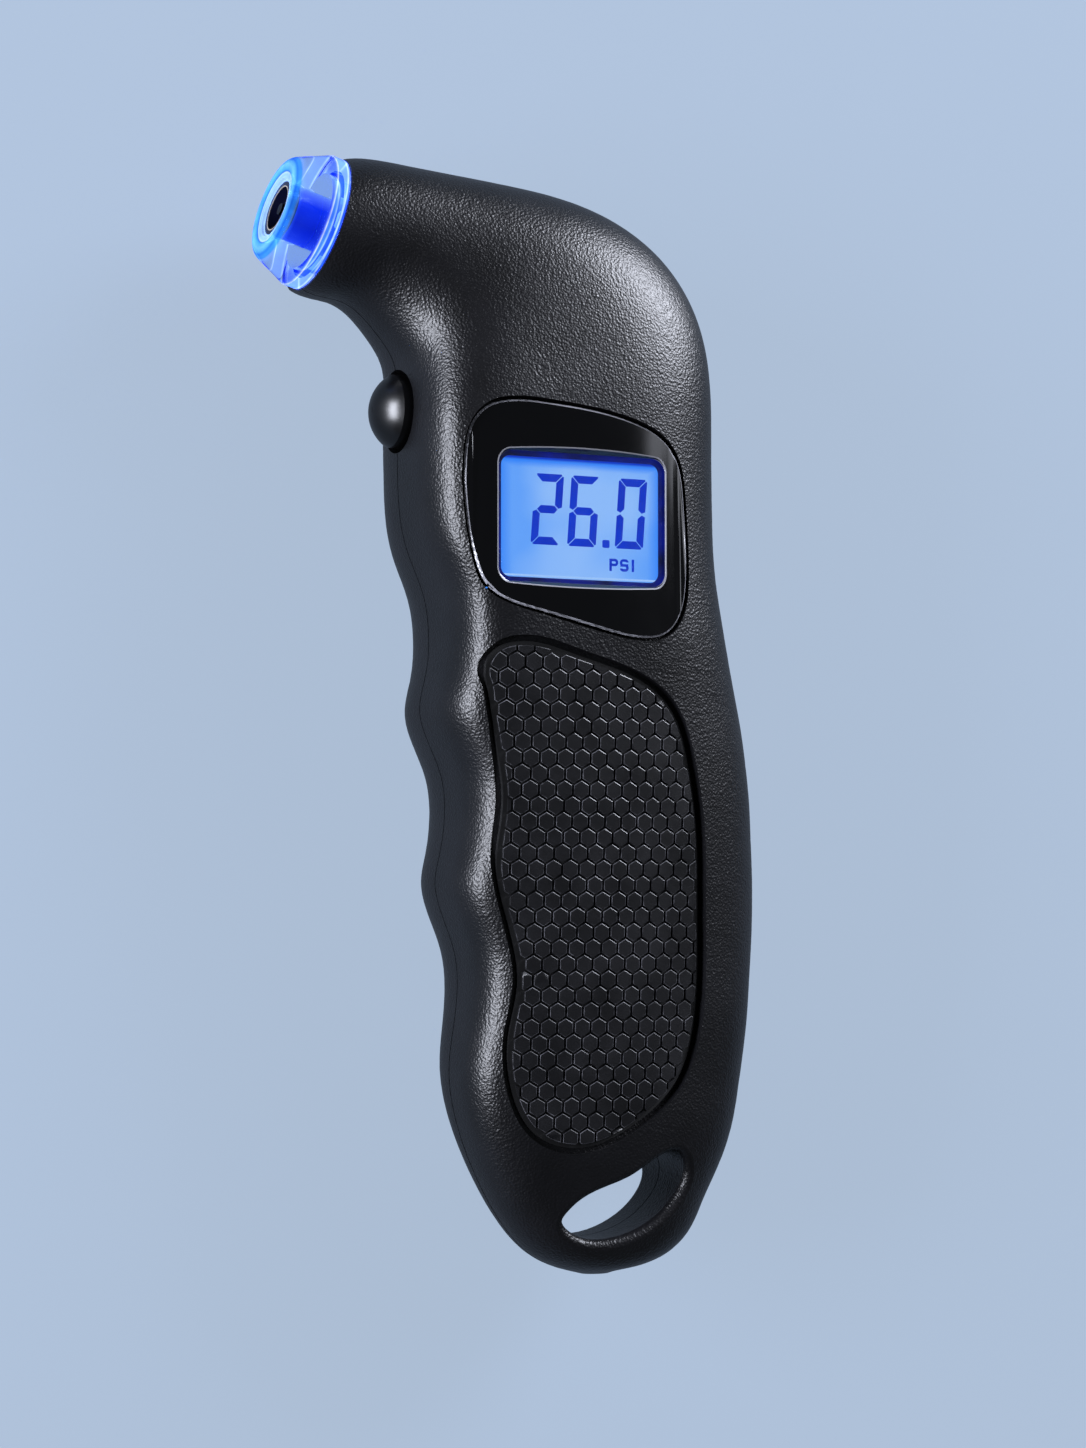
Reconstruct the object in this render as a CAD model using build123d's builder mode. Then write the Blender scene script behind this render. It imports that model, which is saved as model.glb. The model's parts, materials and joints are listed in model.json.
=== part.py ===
from build123d import *
import os
from math import asin, cos, hypot, pi, sin, sqrt

# Digital tyre pressure gauge, lying on its flat rear face.
# Millimetres. +Z comes out of the display, +Y points along the handle to the head,
# +X is right as seen from the front. The origin is at the middle of the bottom.

# Casing
REAR_DEPTH = 13.5          # rest plane up to the parting plane
REAR_CROWN = 16.0          # depth of the rear curve before it is cut flat
FRONT_DEPTH = 15.3         # parting plane up to the crown over the display
WALL = 2.4
PARTING = REAR_DEPTH
CROWN = PARTING + FRONT_DEPTH
FIT = 0.15                 # gap around a seated piece
SLIP = 0.05                # gap along a sliding or glued face
THREAD_GAP = 0.02          # around the thread of a screw

# Nozzle, measured along its own axis outwards from the collar
COLLAR_X = -27.8
COLLAR_Y = 65.45
NOZZLE_RISE = 16.0         # degrees above the -X direction
COLLAR_RADIUS = 9.2
COLLAR_BORE = 7.2
NOZZLE_LENGTH = 6.95
TIP_RADIUS = 7.2
LENS_BAND = 1.9
MOUTH_RADIUS = 4.1
MOUTH_LENGTH = 0.4
MOUTH_RIM = 5.0
MOUTH_CHAMFER = 0.25
RIM_ROUND = 0.9
LENS_BORE = 3.75
LENS_SPIGOT = 2.5
CORE_RADIUS = 3.65
CORE_BORE = 2.3
CORE_FLANGE = 6.3
CORE_FLANGE_THICKNESS = 1.2
CORE_FLANGE_START = 0.15
NOZZLE_CORE_REACH = 3.45
CORE_TAIL = 8.0
SEAL_THICKNESS = 1.5
SEAL_BORE = 3.0
PIN_RADIUS = 0.8
PIN_LENGTH = 5.0
PIN_BASE = 1.0
PIN_START = 1.0
AIR_HOLE = 0.45
BLOCK_RADIUS = 6.5
BLOCK_START = 4.0
BLOCK_LENGTH = 11.0
BLOCK_BORE = 4.25
BLOCK_BORE_LENGTH = 5.0
AIR_CHANNEL = 1.2
O_RING_RADIUS = 0.55
O_RING_PLACE = 6.2
SENSOR_RADIUS = 4.5
SENSOR_POCKET = 3.0
SENSOR_THICKNESS = 3.0
GASKET_THICKNESS = 0.8
LED_RADIUS = 1.2
LED_LENGTH = 3.4
LED_OFFSET = 5.05
NECK_BORE = 18.0           # depth of the bore that carries the sensor block

# Display stack, downwards from the crown of the casing
DISPLAY_X = 4.2
DISPLAY_Y = 26.3
LIT_WIDTH = 23.4
LIT_HEIGHT = 16.0
LIT_CORNER = 1.3
RECESS_WIDTH = 26.8
RECESS_HEIGHT = 18.6
RECESS_CORNER = 1.8
RECESS_LIP = 0.6
BEZEL_SINK = 0.1           # bezel face under the casing crown
BEZEL_CURVE = 85.0         # radius of the bezel face across the gauge
BEZEL_SHIFT = -0.2         # crown of the bezel face beside the display's middle
BEZEL_GROOVE = 0.45
BEZEL_EDGE = 0.25
BEZEL_SEAT = 2.8           # crown down to the ledge that carries the bezel
LEDGE_THICKNESS = 1.3
LEDGE_WALL = 1.1
PANE_DEPTH = 1.2           # crown down to the window
PANE_THICKNESS = 0.9
PANE_WIDTH = 26.6
PANE_HEIGHT = 18.6
GLASS_DEPTH = 2.3
GLASS_THICKNESS = 2.2
GLASS_WIDTH = 27.0
GLASS_HEIGHT = 19.0
MASK_THICKNESS = 0.12
INK_THICKNESS = 0.06
DIGIT_WIDTH = 4.25
DIGIT_HEIGHT = 9.45
DIGIT_STROKE = 1.05
DIGIT_SPACE = 0.08         # half the gap between two segments
DIGIT_CORNER = 0.35
DIGIT_LEAN = 0.073         # sideways per unit of height
DIGIT_BASE = -3.58         # foot of the digits from the display's middle
DIGIT_LEFTS = (-7.35, -1.97, 5.13)
POINT_LEFT = 3.3
UNIT_BASE = -6.64
UNIT_LEFTS = (4.35, 5.93, 7.71)
UNIT_HEIGHT = 1.66
UNIT_WIDTH = 1.3
UNIT_STROKE = 0.34
GUIDE_WIDTH = 25.0
GUIDE_HEIGHT = 16.0
GUIDE_THICKNESS = 5.0
BOARD_THICKNESS = 1.2
ZEBRA_WIDTH = 1.4
ZEBRA_LENGTH = 24.0
LAMP_WIDTH = 3.5
LAMP_DEPTH = 1.2
LAMP_HEIGHT = 1.4

# Grip pad
PAD_CURVE = 95.0
PAD_DEPTH = 1.25           # pocket floor under the casing face
PAD_SINK = 0.15            # stud tops under the casing face
STUD_HEIGHT = 0.45
STUD_PITCH = 2.42
STUD_GAP = 0.3
PAD_GROOVE = 0.8
PAD_BORDER = 0.55          # plain edge of the pad outside its studs
STUD_SMALLEST = 0.35       # area under which a cut stud is left out

# Power button and its switch
BUTTON_Y = 41.2
BUTTON_RADIUS = 4.9
BUTTON_RISE = 3.7
BUTTON_GAP = 0.7
BUTTON_BARREL = 1.0        # straight side of the button above the wall
BUTTON_TRAVEL = 0.5
TAB_LENGTH = 13.2
TAB_WIDTH = 5.0
TAB_THICKNESS = 0.9
POST_RADIUS = 1.8
PLUNGER_RADIUS = 1.5
PLUNGER_REACH = 1.6
PLUNGER_TAIL = 1.8
SWITCH_DEPTH = 3.5
SWITCH_WIDTH = 6.0
SWITCH_DROP = 7.0
SWITCH_INSET = 8.6         # finger-side wall to the switch
TAB_INSET = 3.1            # finger-side wall to the outer face of the tabs

# Circuit board
BOARD_LEFT = -8.8
BOARD_RIGHT = 23.0
BOARD_BOTTOM = 9.5
BOARD_TOP = 47.5
BOARD_POSTS = ((-6.2, 12.4), (20.2, 44.6))
BOARD_POST_RADIUS = 2.3
BOARD_SCREW_RADIUS = 1.0
BOARD_SCREW_LENGTH = 5.2
BOARD_HEAD_RADIUS = 1.8
BOARD_HEAD_HEIGHT = 1.0
CHIP_SIZE = 7.0
CHIP_THICKNESS = 1.2
CHIP_X = 10.0
CHIP_Y = 28.0
SMALL_PARTS = ((1.0, 18.0), (4.5, 18.0), (8.0, 18.0), (16.5, 36.5), (16.5, 39.5), (3.5, 36.0))
CABLE_RADIUS = 0.75

# Battery
CELL_RADIUS = 10.0
CELL_THICKNESS = 3.2
CELL_X = 6.5
CELL_Y = 26.0
BAY_SIZE = 21.0
BAY_HEIGHT = 8.4
BAY_WALL = 1.2
BAY_CORNER = 1.5
DOOR_WIDTH = 23.0
DOOR_LENGTH = 31.0
DOOR_SHIFT = -3.0
DOOR_THICKNESS = 1.2
DOOR_SINK = 0.2
DOOR_CORNER = 2.5
CONTACT_THICKNESS = 0.3
CELL_LEVEL = 3.4
DOOR_SCREW_RADIUS = 1.0
DOOR_SCREW_LENGTH = 5.0
DOOR_POST_RADIUS = 2.6
DOOR_SCREW_HEAD = 1.9
DOOR_HEAD_HEIGHT = 0.7
DOOR_PAD_RADIUS = 7.0
DOOR_RIBS = 4
SLOT_OFFSET = 9.0
CONTACT_REACH = 2.5
WIRE_RADIUS = 0.6

# Casing screws
SCREWS = ((20.0, 53.5), (-9.5, 51.8), (-4.0, -6.5), (28.0, -8.5), (14.0, -47.5))
SCREW_RADIUS = 1.25
SCREW_LENGTH = 10.0
HEAD_RADIUS = 2.2
HEAD_HEIGHT = 1.5
POST_OUTER = 3.4
SCREW_SEAT = 6.0

# Lanyard eye
EYE_ROUND = 1.0

# Cross-sections of the casing from the collar round the throat and down the handle.
# Each one joins a point on the finger side to one on the palm side, and gives the
# place of its crown along that chord, its front and rear depths as shares of the
# deepest ones, and how square its finger and palm shoulders are.
SECTIONS = (
    ((-30.34, 56.61), (-25.26, 74.29), 0.50, 0.601, 0.575, 2.0, 2.0),
    ((-25.2, 55.5), (-16.0, 74.3), 0.50, 0.65, 0.625, 2.1, 2.05),
    ((-20.3, 52.2), (-1.6, 73.0), 0.50, 0.74, 0.72, 2.4, 2.1),
    ((-17.9, 49.3), (10.9, 70.6), 0.49, 0.84, 0.82, 3.0, 2.25),
    ((-16.8, 46.6), (21.0, 64.7), 0.48, 0.92, 0.9, 3.8, 2.45),
    ((-16.6, 43.0), (26.6, 56.3), 0.47, 0.97, 0.96, 4.5, 2.65),
    ((-16.6, 38.5), (28.4, 47.0), 0.46, 1.0, 1, 5.0, 2.8),
    ((-16.5, 33.0), (28.6, 38.0), 0.46, 1.0, 1, 5.0, 2.8),
    ((-16.1, 26.8), (28.7, 28.5), 0.455, 1.0, 1, 5.2, 2.8),
    ((-14.8, 21.8), (29.0, 21.5), 0.445, 1.0, 1, 5.6, 2.8),
    ((-12.7, 16.7), (29.9, 15.5), 0.43, 0.995, 1, 5.7, 2.8),
    ((-11.9, 11.5), (31.0, 10.0), 0.42, 0.985, 1, 5.4, 2.8),
    ((-12.3, 6.0), (32.4, 4.0), 0.41, 0.96, 1, 4.8, 2.8),
    ((-13.2, 1.2), (33.6, -1.2), 0.41, 0.94, 0.995, 4.6, 2.8),
    ((-12.0, -3.0), (34.4, -6.0), 0.40, 0.92, 0.99, 4.5, 2.8),
    ((-10.1, -7.4), (35.0, -11.0), 0.39, 0.90, 0.98, 4.5, 2.8),
    ((-9.5, -12.0), (35.3, -16.0), 0.39, 0.88, 0.965, 4.5, 2.8),
    ((-10.1, -17.5), (35.6, -21.0), 0.39, 0.86, 0.945, 4.5, 2.8),
    ((-10.9, -21.9), (35.7, -25.5), 0.39, 0.84, 0.925, 4.5, 2.8),
    ((-9.8, -26.4), (35.6, -30.0), 0.39, 0.82, 0.9, 4.5, 2.8),
    ((-8.1, -31.0), (35.3, -35.0), 0.39, 0.80, 0.87, 4.5, 2.8),
    ((-7.6, -36.0), (35.0, -40.0), 0.39, 0.78, 0.83, 4.5, 2.8),
    ((-8.2, -41.5), (34.5, -45.5), 0.40, 0.755, 0.775, 4.2, 2.7),
    ((-8.8, -46.6), (33.9, -50.5), 0.41, 0.73, 0.7, 4.0, 2.6),
    ((-8.2, -52.0), (32.9, -55.5), 0.42, 0.70, 0.61, 3.6, 2.6),
    ((-6.6, -57.2), (31.2, -60.5), 0.43, 0.645, 0.51, 3.2, 2.5),
    ((-4.2, -62.5), (29.0, -65.2), 0.45, 0.56, 0.41, 2.8, 2.4),
    ((-0.6, -68.2), (26.7, -70.0), 0.47, 0.455, 0.33, 2.5, 2.2),
    ((3.0, -71.8), (23.1, -72.9), 0.49, 0.36, 0.26, 2.2, 2.1),
    ((7.4, -74.0), (18.5, -74.3), 0.50, 0.23, 0.18, 2.0, 2.0),
    ((11.0, -74.95), (15.0, -75.0), 0.50, 0.08, 0.075, 2.0, 2.0),
)
REAR_FINGER_SQUARE = 2.6
REAR_PALM_SQUARE = 2.3
QUADRANT_STEPS = 6
CAVITY_FIRST = 2
CAVITY_LAST = 25

# Outlines on the front face, each a closed curve through a few points
BEZEL_OUTLINE = (
    (-12.8, 31.6), (-12.6, 35.2), (-11.7, 38.4), (-9.7, 40.6), (-6.8, 41.5), (-0.7, 41.4), (6.1, 40.7),
    (12.2, 39.4), (16.5, 37.4), (18.7, 34.6), (19.6, 30.4), (20.0, 25.2), (20.1, 18.9), (19.2, 14.4),
    (17.0, 11.7), (13.7, 10.8), (9.7, 11.1), (3.8, 12.4), (-3.4, 14.1), (-7.5, 15.4), (-9.8, 17.1),
    (-11.2, 20.1), (-12.1, 23.6), (-12.6, 27.6),
)
PAD_OUTLINE = (
    (-9.3, 4.5), (-8.1, 8.8), (-4.4, 9.8), (3.2, 8.2), (11.8, 5.6), (17.9, 1.4), (21.0, -5.8),
    (22.7, -14.5), (23.3, -26.0), (23.3, -39.5), (20.7, -48.3), (14.0, -54.2), (5.7, -57.1),
    (-0.4, -55.2), (-4.1, -49.0), (-4.7, -42.5), (-3.7, -35.0), (-5.4, -27.0), (-7.1, -20.0),
    (-6.5, -11.0), (-7.8, -3.2),
)
EYE_OUTLINE = (
    (5.3, -66.2), (7.2, -64.1), (14.0, -61.2), (18.6, -58.5), (21.2, -58.1), (23.0, -60.6),
    (21.7, -64.6), (17.5, -68.1), (11.5, -69.8), (7.0, -68.8),
)

EYE_LOW = min(y for x, y in EYE_OUTLINE) - 1
EYE_HIGH = max(y for x, y in EYE_OUTLINE) + 1

os.makedirs("parts", exist_ok=True)
UP = Vector(0, 0, 1)


def save(part, label):
    """Names a finished piece and writes it to its own file."""
    part.label = label
    export_step(part, f"parts/{label}.step")


def quadrant(side, depth, square):
    """Points of one quarter of a section, from its side to its crown."""
    points = []
    for step in range(QUADRANT_STEPS + 1):
        angle = step / QUADRANT_STEPS * pi / 2
        across = 0.0 if step == QUADRANT_STEPS else cos(angle)
        reach = (across**square + sin(angle) ** square) ** (-1 / square)
        points.append((side * reach * across, depth * reach * sin(angle)))
    return points


def section(station, inset):
    """One cross-section of the casing, drawn in from its surface by the inset."""
    (left_x, left_y), (right_x, right_y), crown, front, rear, finger, palm = station
    width = hypot(right_x - left_x, right_y - left_y)
    along = Vector((right_x - left_x) / width, (right_y - left_y) / width, 0)
    origin = Vector(left_x, left_y, PARTING) + along * (crown * width)
    plane = Plane(origin=origin, x_dir=along, z_dir=along.cross(UP))
    left = crown * width - inset
    right = (1 - crown) * width - inset
    above = front * FRONT_DEPTH - inset
    below = rear * REAR_CROWN - inset
    top_left = [(-x, y) for x, y in quadrant(left, above, finger)]
    top_right = quadrant(right, above, palm)[::-1]
    low_left = [(-x, -y) for x, y in quadrant(left, below, REAR_FINGER_SQUARE)][::-1]
    low_right = [(x, -y) for x, y in quadrant(right, below, REAR_PALM_SQUARE)]
    over = [plane.from_local_coords(point) for point in top_left + top_right[1:]]
    under = [plane.from_local_coords(point) for point in low_right + low_left[1:]]
    spacing = [step / (2 * QUADRANT_STEPS) for step in range(2 * QUADRANT_STEPS + 1)]
    over_run = UP * (pi * above)
    under_run = UP * (-pi * below)
    over_edge = Edge.make_spline(over, tangents=[over_run, -over_run], parameters=spacing, scale=False)
    under_edge = Edge.make_spline(under, tangents=[under_run, -under_run], parameters=spacing, scale=False)
    return Face(Wire([over_edge, under_edge]))


def casing_form(inset, first=0, last=len(SECTIONS)):
    """The casing's solid shape, drawn in by the inset, between two of its sections."""
    sections = [section(station, inset) for station in SECTIONS[first:last]]
    with BuildPart() as form:
        loft(sections=sections, clean=False)
    return form.part


def slab(low, high):
    """Everything between two levels, wider than the gauge."""
    return centred(0, 0, 4 * abs(SECTIONS[-1][0][1]), 4 * abs(SECTIONS[-1][0][1]), low, high)


def spread_outline(outline, amount):
    """Points of a closed curve, each moved straight out of it by an amount, or in if negative."""
    following = outline[1:] + outline[:1]
    area = sum(x * next_y - next_x * y for (x, y), (next_x, next_y) in zip(outline, following))
    with BuildLine() as curve:
        Spline(*outline, periodic=True)
    edge = curve.edge()
    steps = 3 * len(outline)
    points = []
    for step in range(steps):
        heading = edge % (step / steps)
        outwards = heading.cross(UP) if area > 0 else UP.cross(heading)
        points.append(edge @ (step / steps) + outwards * amount)
    return points


def outline_prism(outline, spread, low, high):
    """A straight block of a closed outline, spread outwards, between two heights."""
    points = spread_outline(outline, spread) if spread else outline
    with BuildPart() as prism:
        with BuildSketch(Plane.XY.offset(low)):
            with BuildLine():
                Spline(*points, periodic=True)
            make_face()
        extrude(amount=high - low)
    return prism.part


def box_between(low, high, corner=0.0):
    """A block between two opposite corners, its upright edges rounded if asked."""
    with BuildPart() as block:
        with BuildSketch(Plane.XY.offset(low[2])):
            with Locations(((low[0] + high[0]) / 2, (low[1] + high[1]) / 2)):
                if corner:
                    RectangleRounded(high[0] - low[0], high[1] - low[1], corner)
                else:
                    Rectangle(high[0] - low[0], high[1] - low[1])
        extrude(amount=high[2] - low[2])
    return block.part


def centred(x, y, width, height, low, high, corner=0.0):
    """A block of a width and height about a point, between two heights."""
    return box_between((x - width / 2, y - height / 2, low), (x + width / 2, y + height / 2, high), corner)


def cross_slot(x, y, length, width, high):
    """The driver slot in the underside of a screw head, up to a height."""
    with BuildPart() as slot:
        add(centred(x, y, length, width, -1, high))
        add(centred(x, y, width, length, -1, high))
    return slot.part


def post(x, y, radius, low, high):
    """An upright round post."""
    with BuildPart() as cylinder:
        with BuildSketch(Plane.XY.offset(low)):
            with Locations((x, y)):
                Circle(radius)
        extrude(amount=high - low)
    return cylinder.part


# The nozzle's plane has the nozzle axis as its local X, outwards from the collar
rise = NOZZLE_RISE * pi / 180
OUT = Vector(-cos(rise), sin(rise), 0)
NOZZLE_PLANE = Plane(origin=(COLLAR_X, COLLAR_Y, PARTING), x_dir=OUT, z_dir=(0, 0, 1))
NOZZLE_AXIS = Axis((COLLAR_X, COLLAR_Y, PARTING), OUT)


def nozzle_turned(profile):
    """A piece turned about the nozzle axis from (distance out, radius) corners."""
    with BuildPart() as turned:
        with BuildSketch(NOZZLE_PLANE):
            with BuildLine():
                Polyline(*profile, close=True)
            make_face()
        revolve(axis=NOZZLE_AXIS)
    return turned.part


def nozzle_ring(start, end, inner, outer):
    """A plain ring or rod on the nozzle axis."""
    return nozzle_turned([(start, inner), (start, outer), (end, outer), (end, inner)])


def crown_frame(head, tail):
    """The start of a crown line, its own direction and the ones across and above it."""
    start = Vector(*head)
    run = (Vector(*tail) - start).normalized()
    across = UP.cross(run).normalized()
    return start, run, across, run.cross(across)


def crown_cylinder(radius, head, tail, sink):
    """A long cylinder whose top line runs through two crown points, sunk a little."""
    start, run, across, above = crown_frame(head, tail)
    with BuildPart() as cylinder:
        with BuildSketch(Plane(origin=start - above * radius, z_dir=run)):
            Circle(radius - sink)
        extrude(amount=2 * abs(SECTIONS[-1][0][1]), both=True)
    return cylinder.part


# Levels of the display stack
bezel_seat = CROWN - BEZEL_SEAT
pane_top = CROWN - PANE_DEPTH
pane_low = pane_top - PANE_THICKNESS
glass_top = CROWN - GLASS_DEPTH
glass_low = glass_top - GLASS_THICKNESS
guide_top = glass_low - SLIP
guide_low = guide_top - GUIDE_THICKNESS
board_top = guide_low - SLIP
board_low = board_top - BOARD_THICKNESS

# Crown lines of the bezel face and of the grip pad
bezel_x = DISPLAY_X + BEZEL_SHIFT
BEZEL_HEAD = (bezel_x, DISPLAY_Y + 10, CROWN)
BEZEL_TAIL = (bezel_x, DISPLAY_Y - 10, CROWN)
PAD_HEAD = (6.0, 8.0, PARTING + 0.974 * FRONT_DEPTH)
PAD_TAIL = (9.0, -56.0, PARTING + 0.687 * FRONT_DEPTH)


def tube(path, radius):
    """A round wire along straight runs joined by bends."""
    with BuildPart() as wire:
        with BuildLine() as route:
            FilletPolyline(*path, radius=3 * radius)
        with BuildSketch(Plane(origin=route.line @ 0, z_dir=route.line % 0)):
            Circle(radius)
        sweep(path=route.line)
    return wire.part


def stroke_box(x_low, y_low, x_high, y_high, mode=Mode.ADD):
    """A flat bar between two corners, in the sketch that is open."""
    with Locations(((x_low + x_high) / 2, (y_low + y_high) / 2)):
        Rectangle(x_high - x_low, y_high - y_low, mode=mode)


def bowl(left, low, wide, tall, stroke):
    """A flat rounded loop with an even stroke, in the sketch that is open."""
    radius = 0.48 * min(wide, tall)
    with Locations((left + wide / 2, low + tall / 2)):
        RectangleRounded(wide, tall, radius)
        RectangleRounded(wide - 2 * stroke, tall - 2 * stroke, radius - stroke, mode=Mode.SUBTRACT)


def unit_letter(letter, corner):
    """One capital of the unit, its lower left corner at the given point."""
    left, low = corner
    tall = UNIT_HEIGHT
    wide = UNIT_WIDTH
    pen = UNIT_STROKE
    half = (tall + pen) / 2
    with BuildSketch() as shape:
        if letter == "P":
            bowl(left, low + tall - half, wide, half, pen)
            stroke_box(left, low, left + pen, low + tall)
            stroke_box(left, low + tall - pen, left + wide / 2, low + tall)
            stroke_box(left, low + tall - half, left + wide / 2, low + tall - half + pen)
        if letter == "S":
            with BuildSketch() as upper:
                bowl(left, low + tall - half, wide, half, pen)
                stroke_box(left + wide / 2, low + half, left + wide, low + tall - 1.2 * pen, Mode.SUBTRACT)
            with BuildSketch() as lower:
                bowl(left, low, wide, half, pen)
                stroke_box(left, low + 1.2 * pen, left + wide / 2, low + half - pen, Mode.SUBTRACT)
        if letter == "I":
            stroke_box(left, low, left + pen, low + tall)
    return shape.sketch


def is_within(x, y, loop):
    """Whether a point lies inside a closed loop of points."""
    within = False
    for here, there in zip(loop, loop[1:] + loop[:1]):
        if (here.Y > y) != (there.Y > y):
            if x < here.X + (y - here.Y) / (there.Y - here.Y) * (there.X - here.X):
                within = not within
    return within


def pad_plane(x, y, depth):
    """The plane that lies on the pad's curve over a point, a depth under its crown line."""
    start, run, across, above = crown_frame(PAD_HEAD, PAD_TAIL)
    aside = Vector(x, y, 0) - (start - above * PAD_CURVE)
    aside = aside - run * aside.dot(run)
    lift = UP - run * UP.dot(run)
    radius = PAD_CURVE - depth
    fall = aside.dot(lift)
    root = sqrt(fall**2 - lift.dot(lift) * (aside.dot(aside) - radius**2))
    z = (root - fall) / lift.dot(lift)
    normal = aside + lift * z
    return Plane(origin=(x, y, z), x_dir=(normal.Z, 0, -normal.X), z_dir=normal)


# The hollow of the casing, with the ledge, the posts and the battery bay left standing in it
finger_wall = SECTIONS[6][0][0]
opening_width = GLASS_WIDTH + 2 * FIT
opening_height = GLASS_HEIGHT + 2 * FIT
ledge_low = bezel_seat - LEDGE_THICKNESS
door_y = CELL_Y + DOOR_SHIFT
door_top = DOOR_SINK + DOOR_THICKNESS
door_screw_y = door_y - DOOR_LENGTH / 2 + 3.5
door_post_top = door_top + DOOR_SCREW_LENGTH
bay_outer = BAY_SIZE + 2 * BAY_WALL
bay_ceiling = BAY_HEIGHT - BAY_WALL
kept = [
    outline_prism(BEZEL_OUTLINE, BEZEL_GROOVE + LEDGE_WALL, ledge_low, CROWN),
    centred(CELL_X, CELL_Y, bay_outer, bay_outer, 0, BAY_HEIGHT),
    post(CELL_X, door_screw_y, DOOR_POST_RADIUS, 0, door_post_top),
]
for x, y in SCREWS:
    kept.append(post(x, y, POST_OUTER, 0, CROWN))
for x, y in BOARD_POSTS:
    kept.append(post(x, y, BOARD_POST_RADIUS, board_top + SLIP, CROWN))
(near_x, near_y), (far_x, far_y) = SECTIONS[CAVITY_FIRST][:2]
neck_end = Plane(origin=(near_x, near_y, 0), x_dir=(far_x - near_x, far_y - near_y, 0), z_dir=UP)
with BuildPart() as hollow:
    add(casing_form(WALL, CAVITY_FIRST - 1, CAVITY_LAST), clean=False)
    with BuildSketch(neck_end):
        Rectangle(4 * abs(near_y), 2 * abs(near_y), align=(Align.CENTER, Align.MIN))
    extrude(amount=CROWN, mode=Mode.SUBTRACT)
    add(slab(WALL, CROWN), mode=Mode.INTERSECT, clean=False)
    for solid in kept:
        add(solid, mode=Mode.SUBTRACT, clean=False)

door_head_top = DOOR_SINK + 0.1 + DOOR_HEAD_HEIGHT
tab_top = BAY_HEIGHT + 1.0
groove_radius = BLOCK_BORE - 2 * O_RING_RADIUS - SLIP
dome_height = BUTTON_RISE - BUTTON_BARREL
dome_radius = (dome_height**2 + BUTTON_RADIUS**2) / (2 * dome_height)
dome_turn = asin(BUTTON_RADIUS / dome_radius) / 2
dome_middle = (BUTTON_RISE - dome_radius * (1 - cos(dome_turn)), dome_radius * sin(dome_turn))

# The whole casing, pierced by the neck, the button and the lanyard eye
with BuildPart() as button_hole:
    with BuildSketch(Plane.YZ.offset(finger_wall + 2 * WALL)):
        with Locations((BUTTON_Y, PARTING)):
            Circle(BUTTON_RADIUS + BUTTON_GAP)
    extrude(amount=-4 * WALL)
pierced = [
    hollow.part,
    nozzle_ring(-LENS_SPIGOT - SLIP, 1, 0, COLLAR_BORE),
    nozzle_ring(-NECK_BORE, 1, 0, BLOCK_RADIUS + SLIP),
    button_hole.part,
    outline_prism(EYE_OUTLINE, 0, -1, CROWN),
]
with BuildPart() as casing:
    add(casing_form(0), clean=False)
    for solid in pierced:
        add(solid, mode=Mode.SUBTRACT, clean=False)
    rims = casing.edges().filter_by_position(Axis.Y, EYE_LOW, EYE_HIGH)
    fillet(rims.filter_by(GeomType.LINE, reverse=True), EYE_ROUND)

# Front housing: pockets for the bezel and the pad, and blind holes for the screws
with BuildPart() as pad_pocket:
    add(outline_prism(PAD_OUTLINE, PAD_GROOVE, PARTING, CROWN + 1))
    add(crown_cylinder(PAD_CURVE, PAD_HEAD, PAD_TAIL, PAD_DEPTH), mode=Mode.SUBTRACT)
screw_top = SCREW_SEAT + SCREW_LENGTH
board_screw_top = board_low + BOARD_SCREW_LENGTH
front_cuts = [
    centred(DISPLAY_X, DISPLAY_Y, opening_width, opening_height, ledge_low - 1, CROWN + 1),
    outline_prism(BEZEL_OUTLINE, BEZEL_GROOVE, bezel_seat, CROWN + 1),
    pad_pocket.part,
]
for x, y in SCREWS:
    front_cuts.append(post(x, y, SCREW_RADIUS + THREAD_GAP, PARTING - 1, screw_top + 1))
for x, y in BOARD_POSTS:
    front_cuts.append(post(x, y, BOARD_SCREW_RADIUS + THREAD_GAP, board_top, board_screw_top + 0.5))
with BuildPart() as front_housing:
    add(casing.part, clean=False)
    add(slab(PARTING, 2 * CROWN), mode=Mode.INTERSECT, clean=False)
    for solid in front_cuts:
        add(solid, mode=Mode.SUBTRACT, clean=False)
save(front_housing.part, "front_housing")

# Rear housing: battery bay with its door recess, and sunk seats for the screw heads
recess_width = DOOR_WIDTH + 2 * FIT
recess_length = DOOR_LENGTH + 2 * FIT
rear_cuts = [
    centred(CELL_X, door_y, recess_width, recess_length, -1, door_top, DOOR_CORNER),
    centred(CELL_X, CELL_Y, BAY_SIZE, BAY_SIZE, 0, bay_ceiling, BAY_CORNER),
    post(CELL_X, door_screw_y, DOOR_SCREW_RADIUS + THREAD_GAP, 0, door_post_top - 0.2),
]
for side in (-1, 1):
    slot_x = CELL_X + side * SLOT_OFFSET
    rear_cuts.append(centred(slot_x, CELL_Y, 3, 1, bay_ceiling - 1, BAY_HEIGHT + 1))
for x, y in SCREWS:
    rear_cuts.append(post(x, y, HEAD_RADIUS + 0.25, -1, SCREW_SEAT))
    rear_cuts.append(post(x, y, SCREW_RADIUS + FIT, 0, PARTING + 1))
with BuildPart() as rear_housing:
    add(casing.part, clean=False)
    add(slab(0, PARTING), mode=Mode.INTERSECT, clean=False)
    for solid in rear_cuts:
        add(solid, mode=Mode.SUBTRACT, clean=False)
save(rear_housing.part, "rear_housing")

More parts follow.
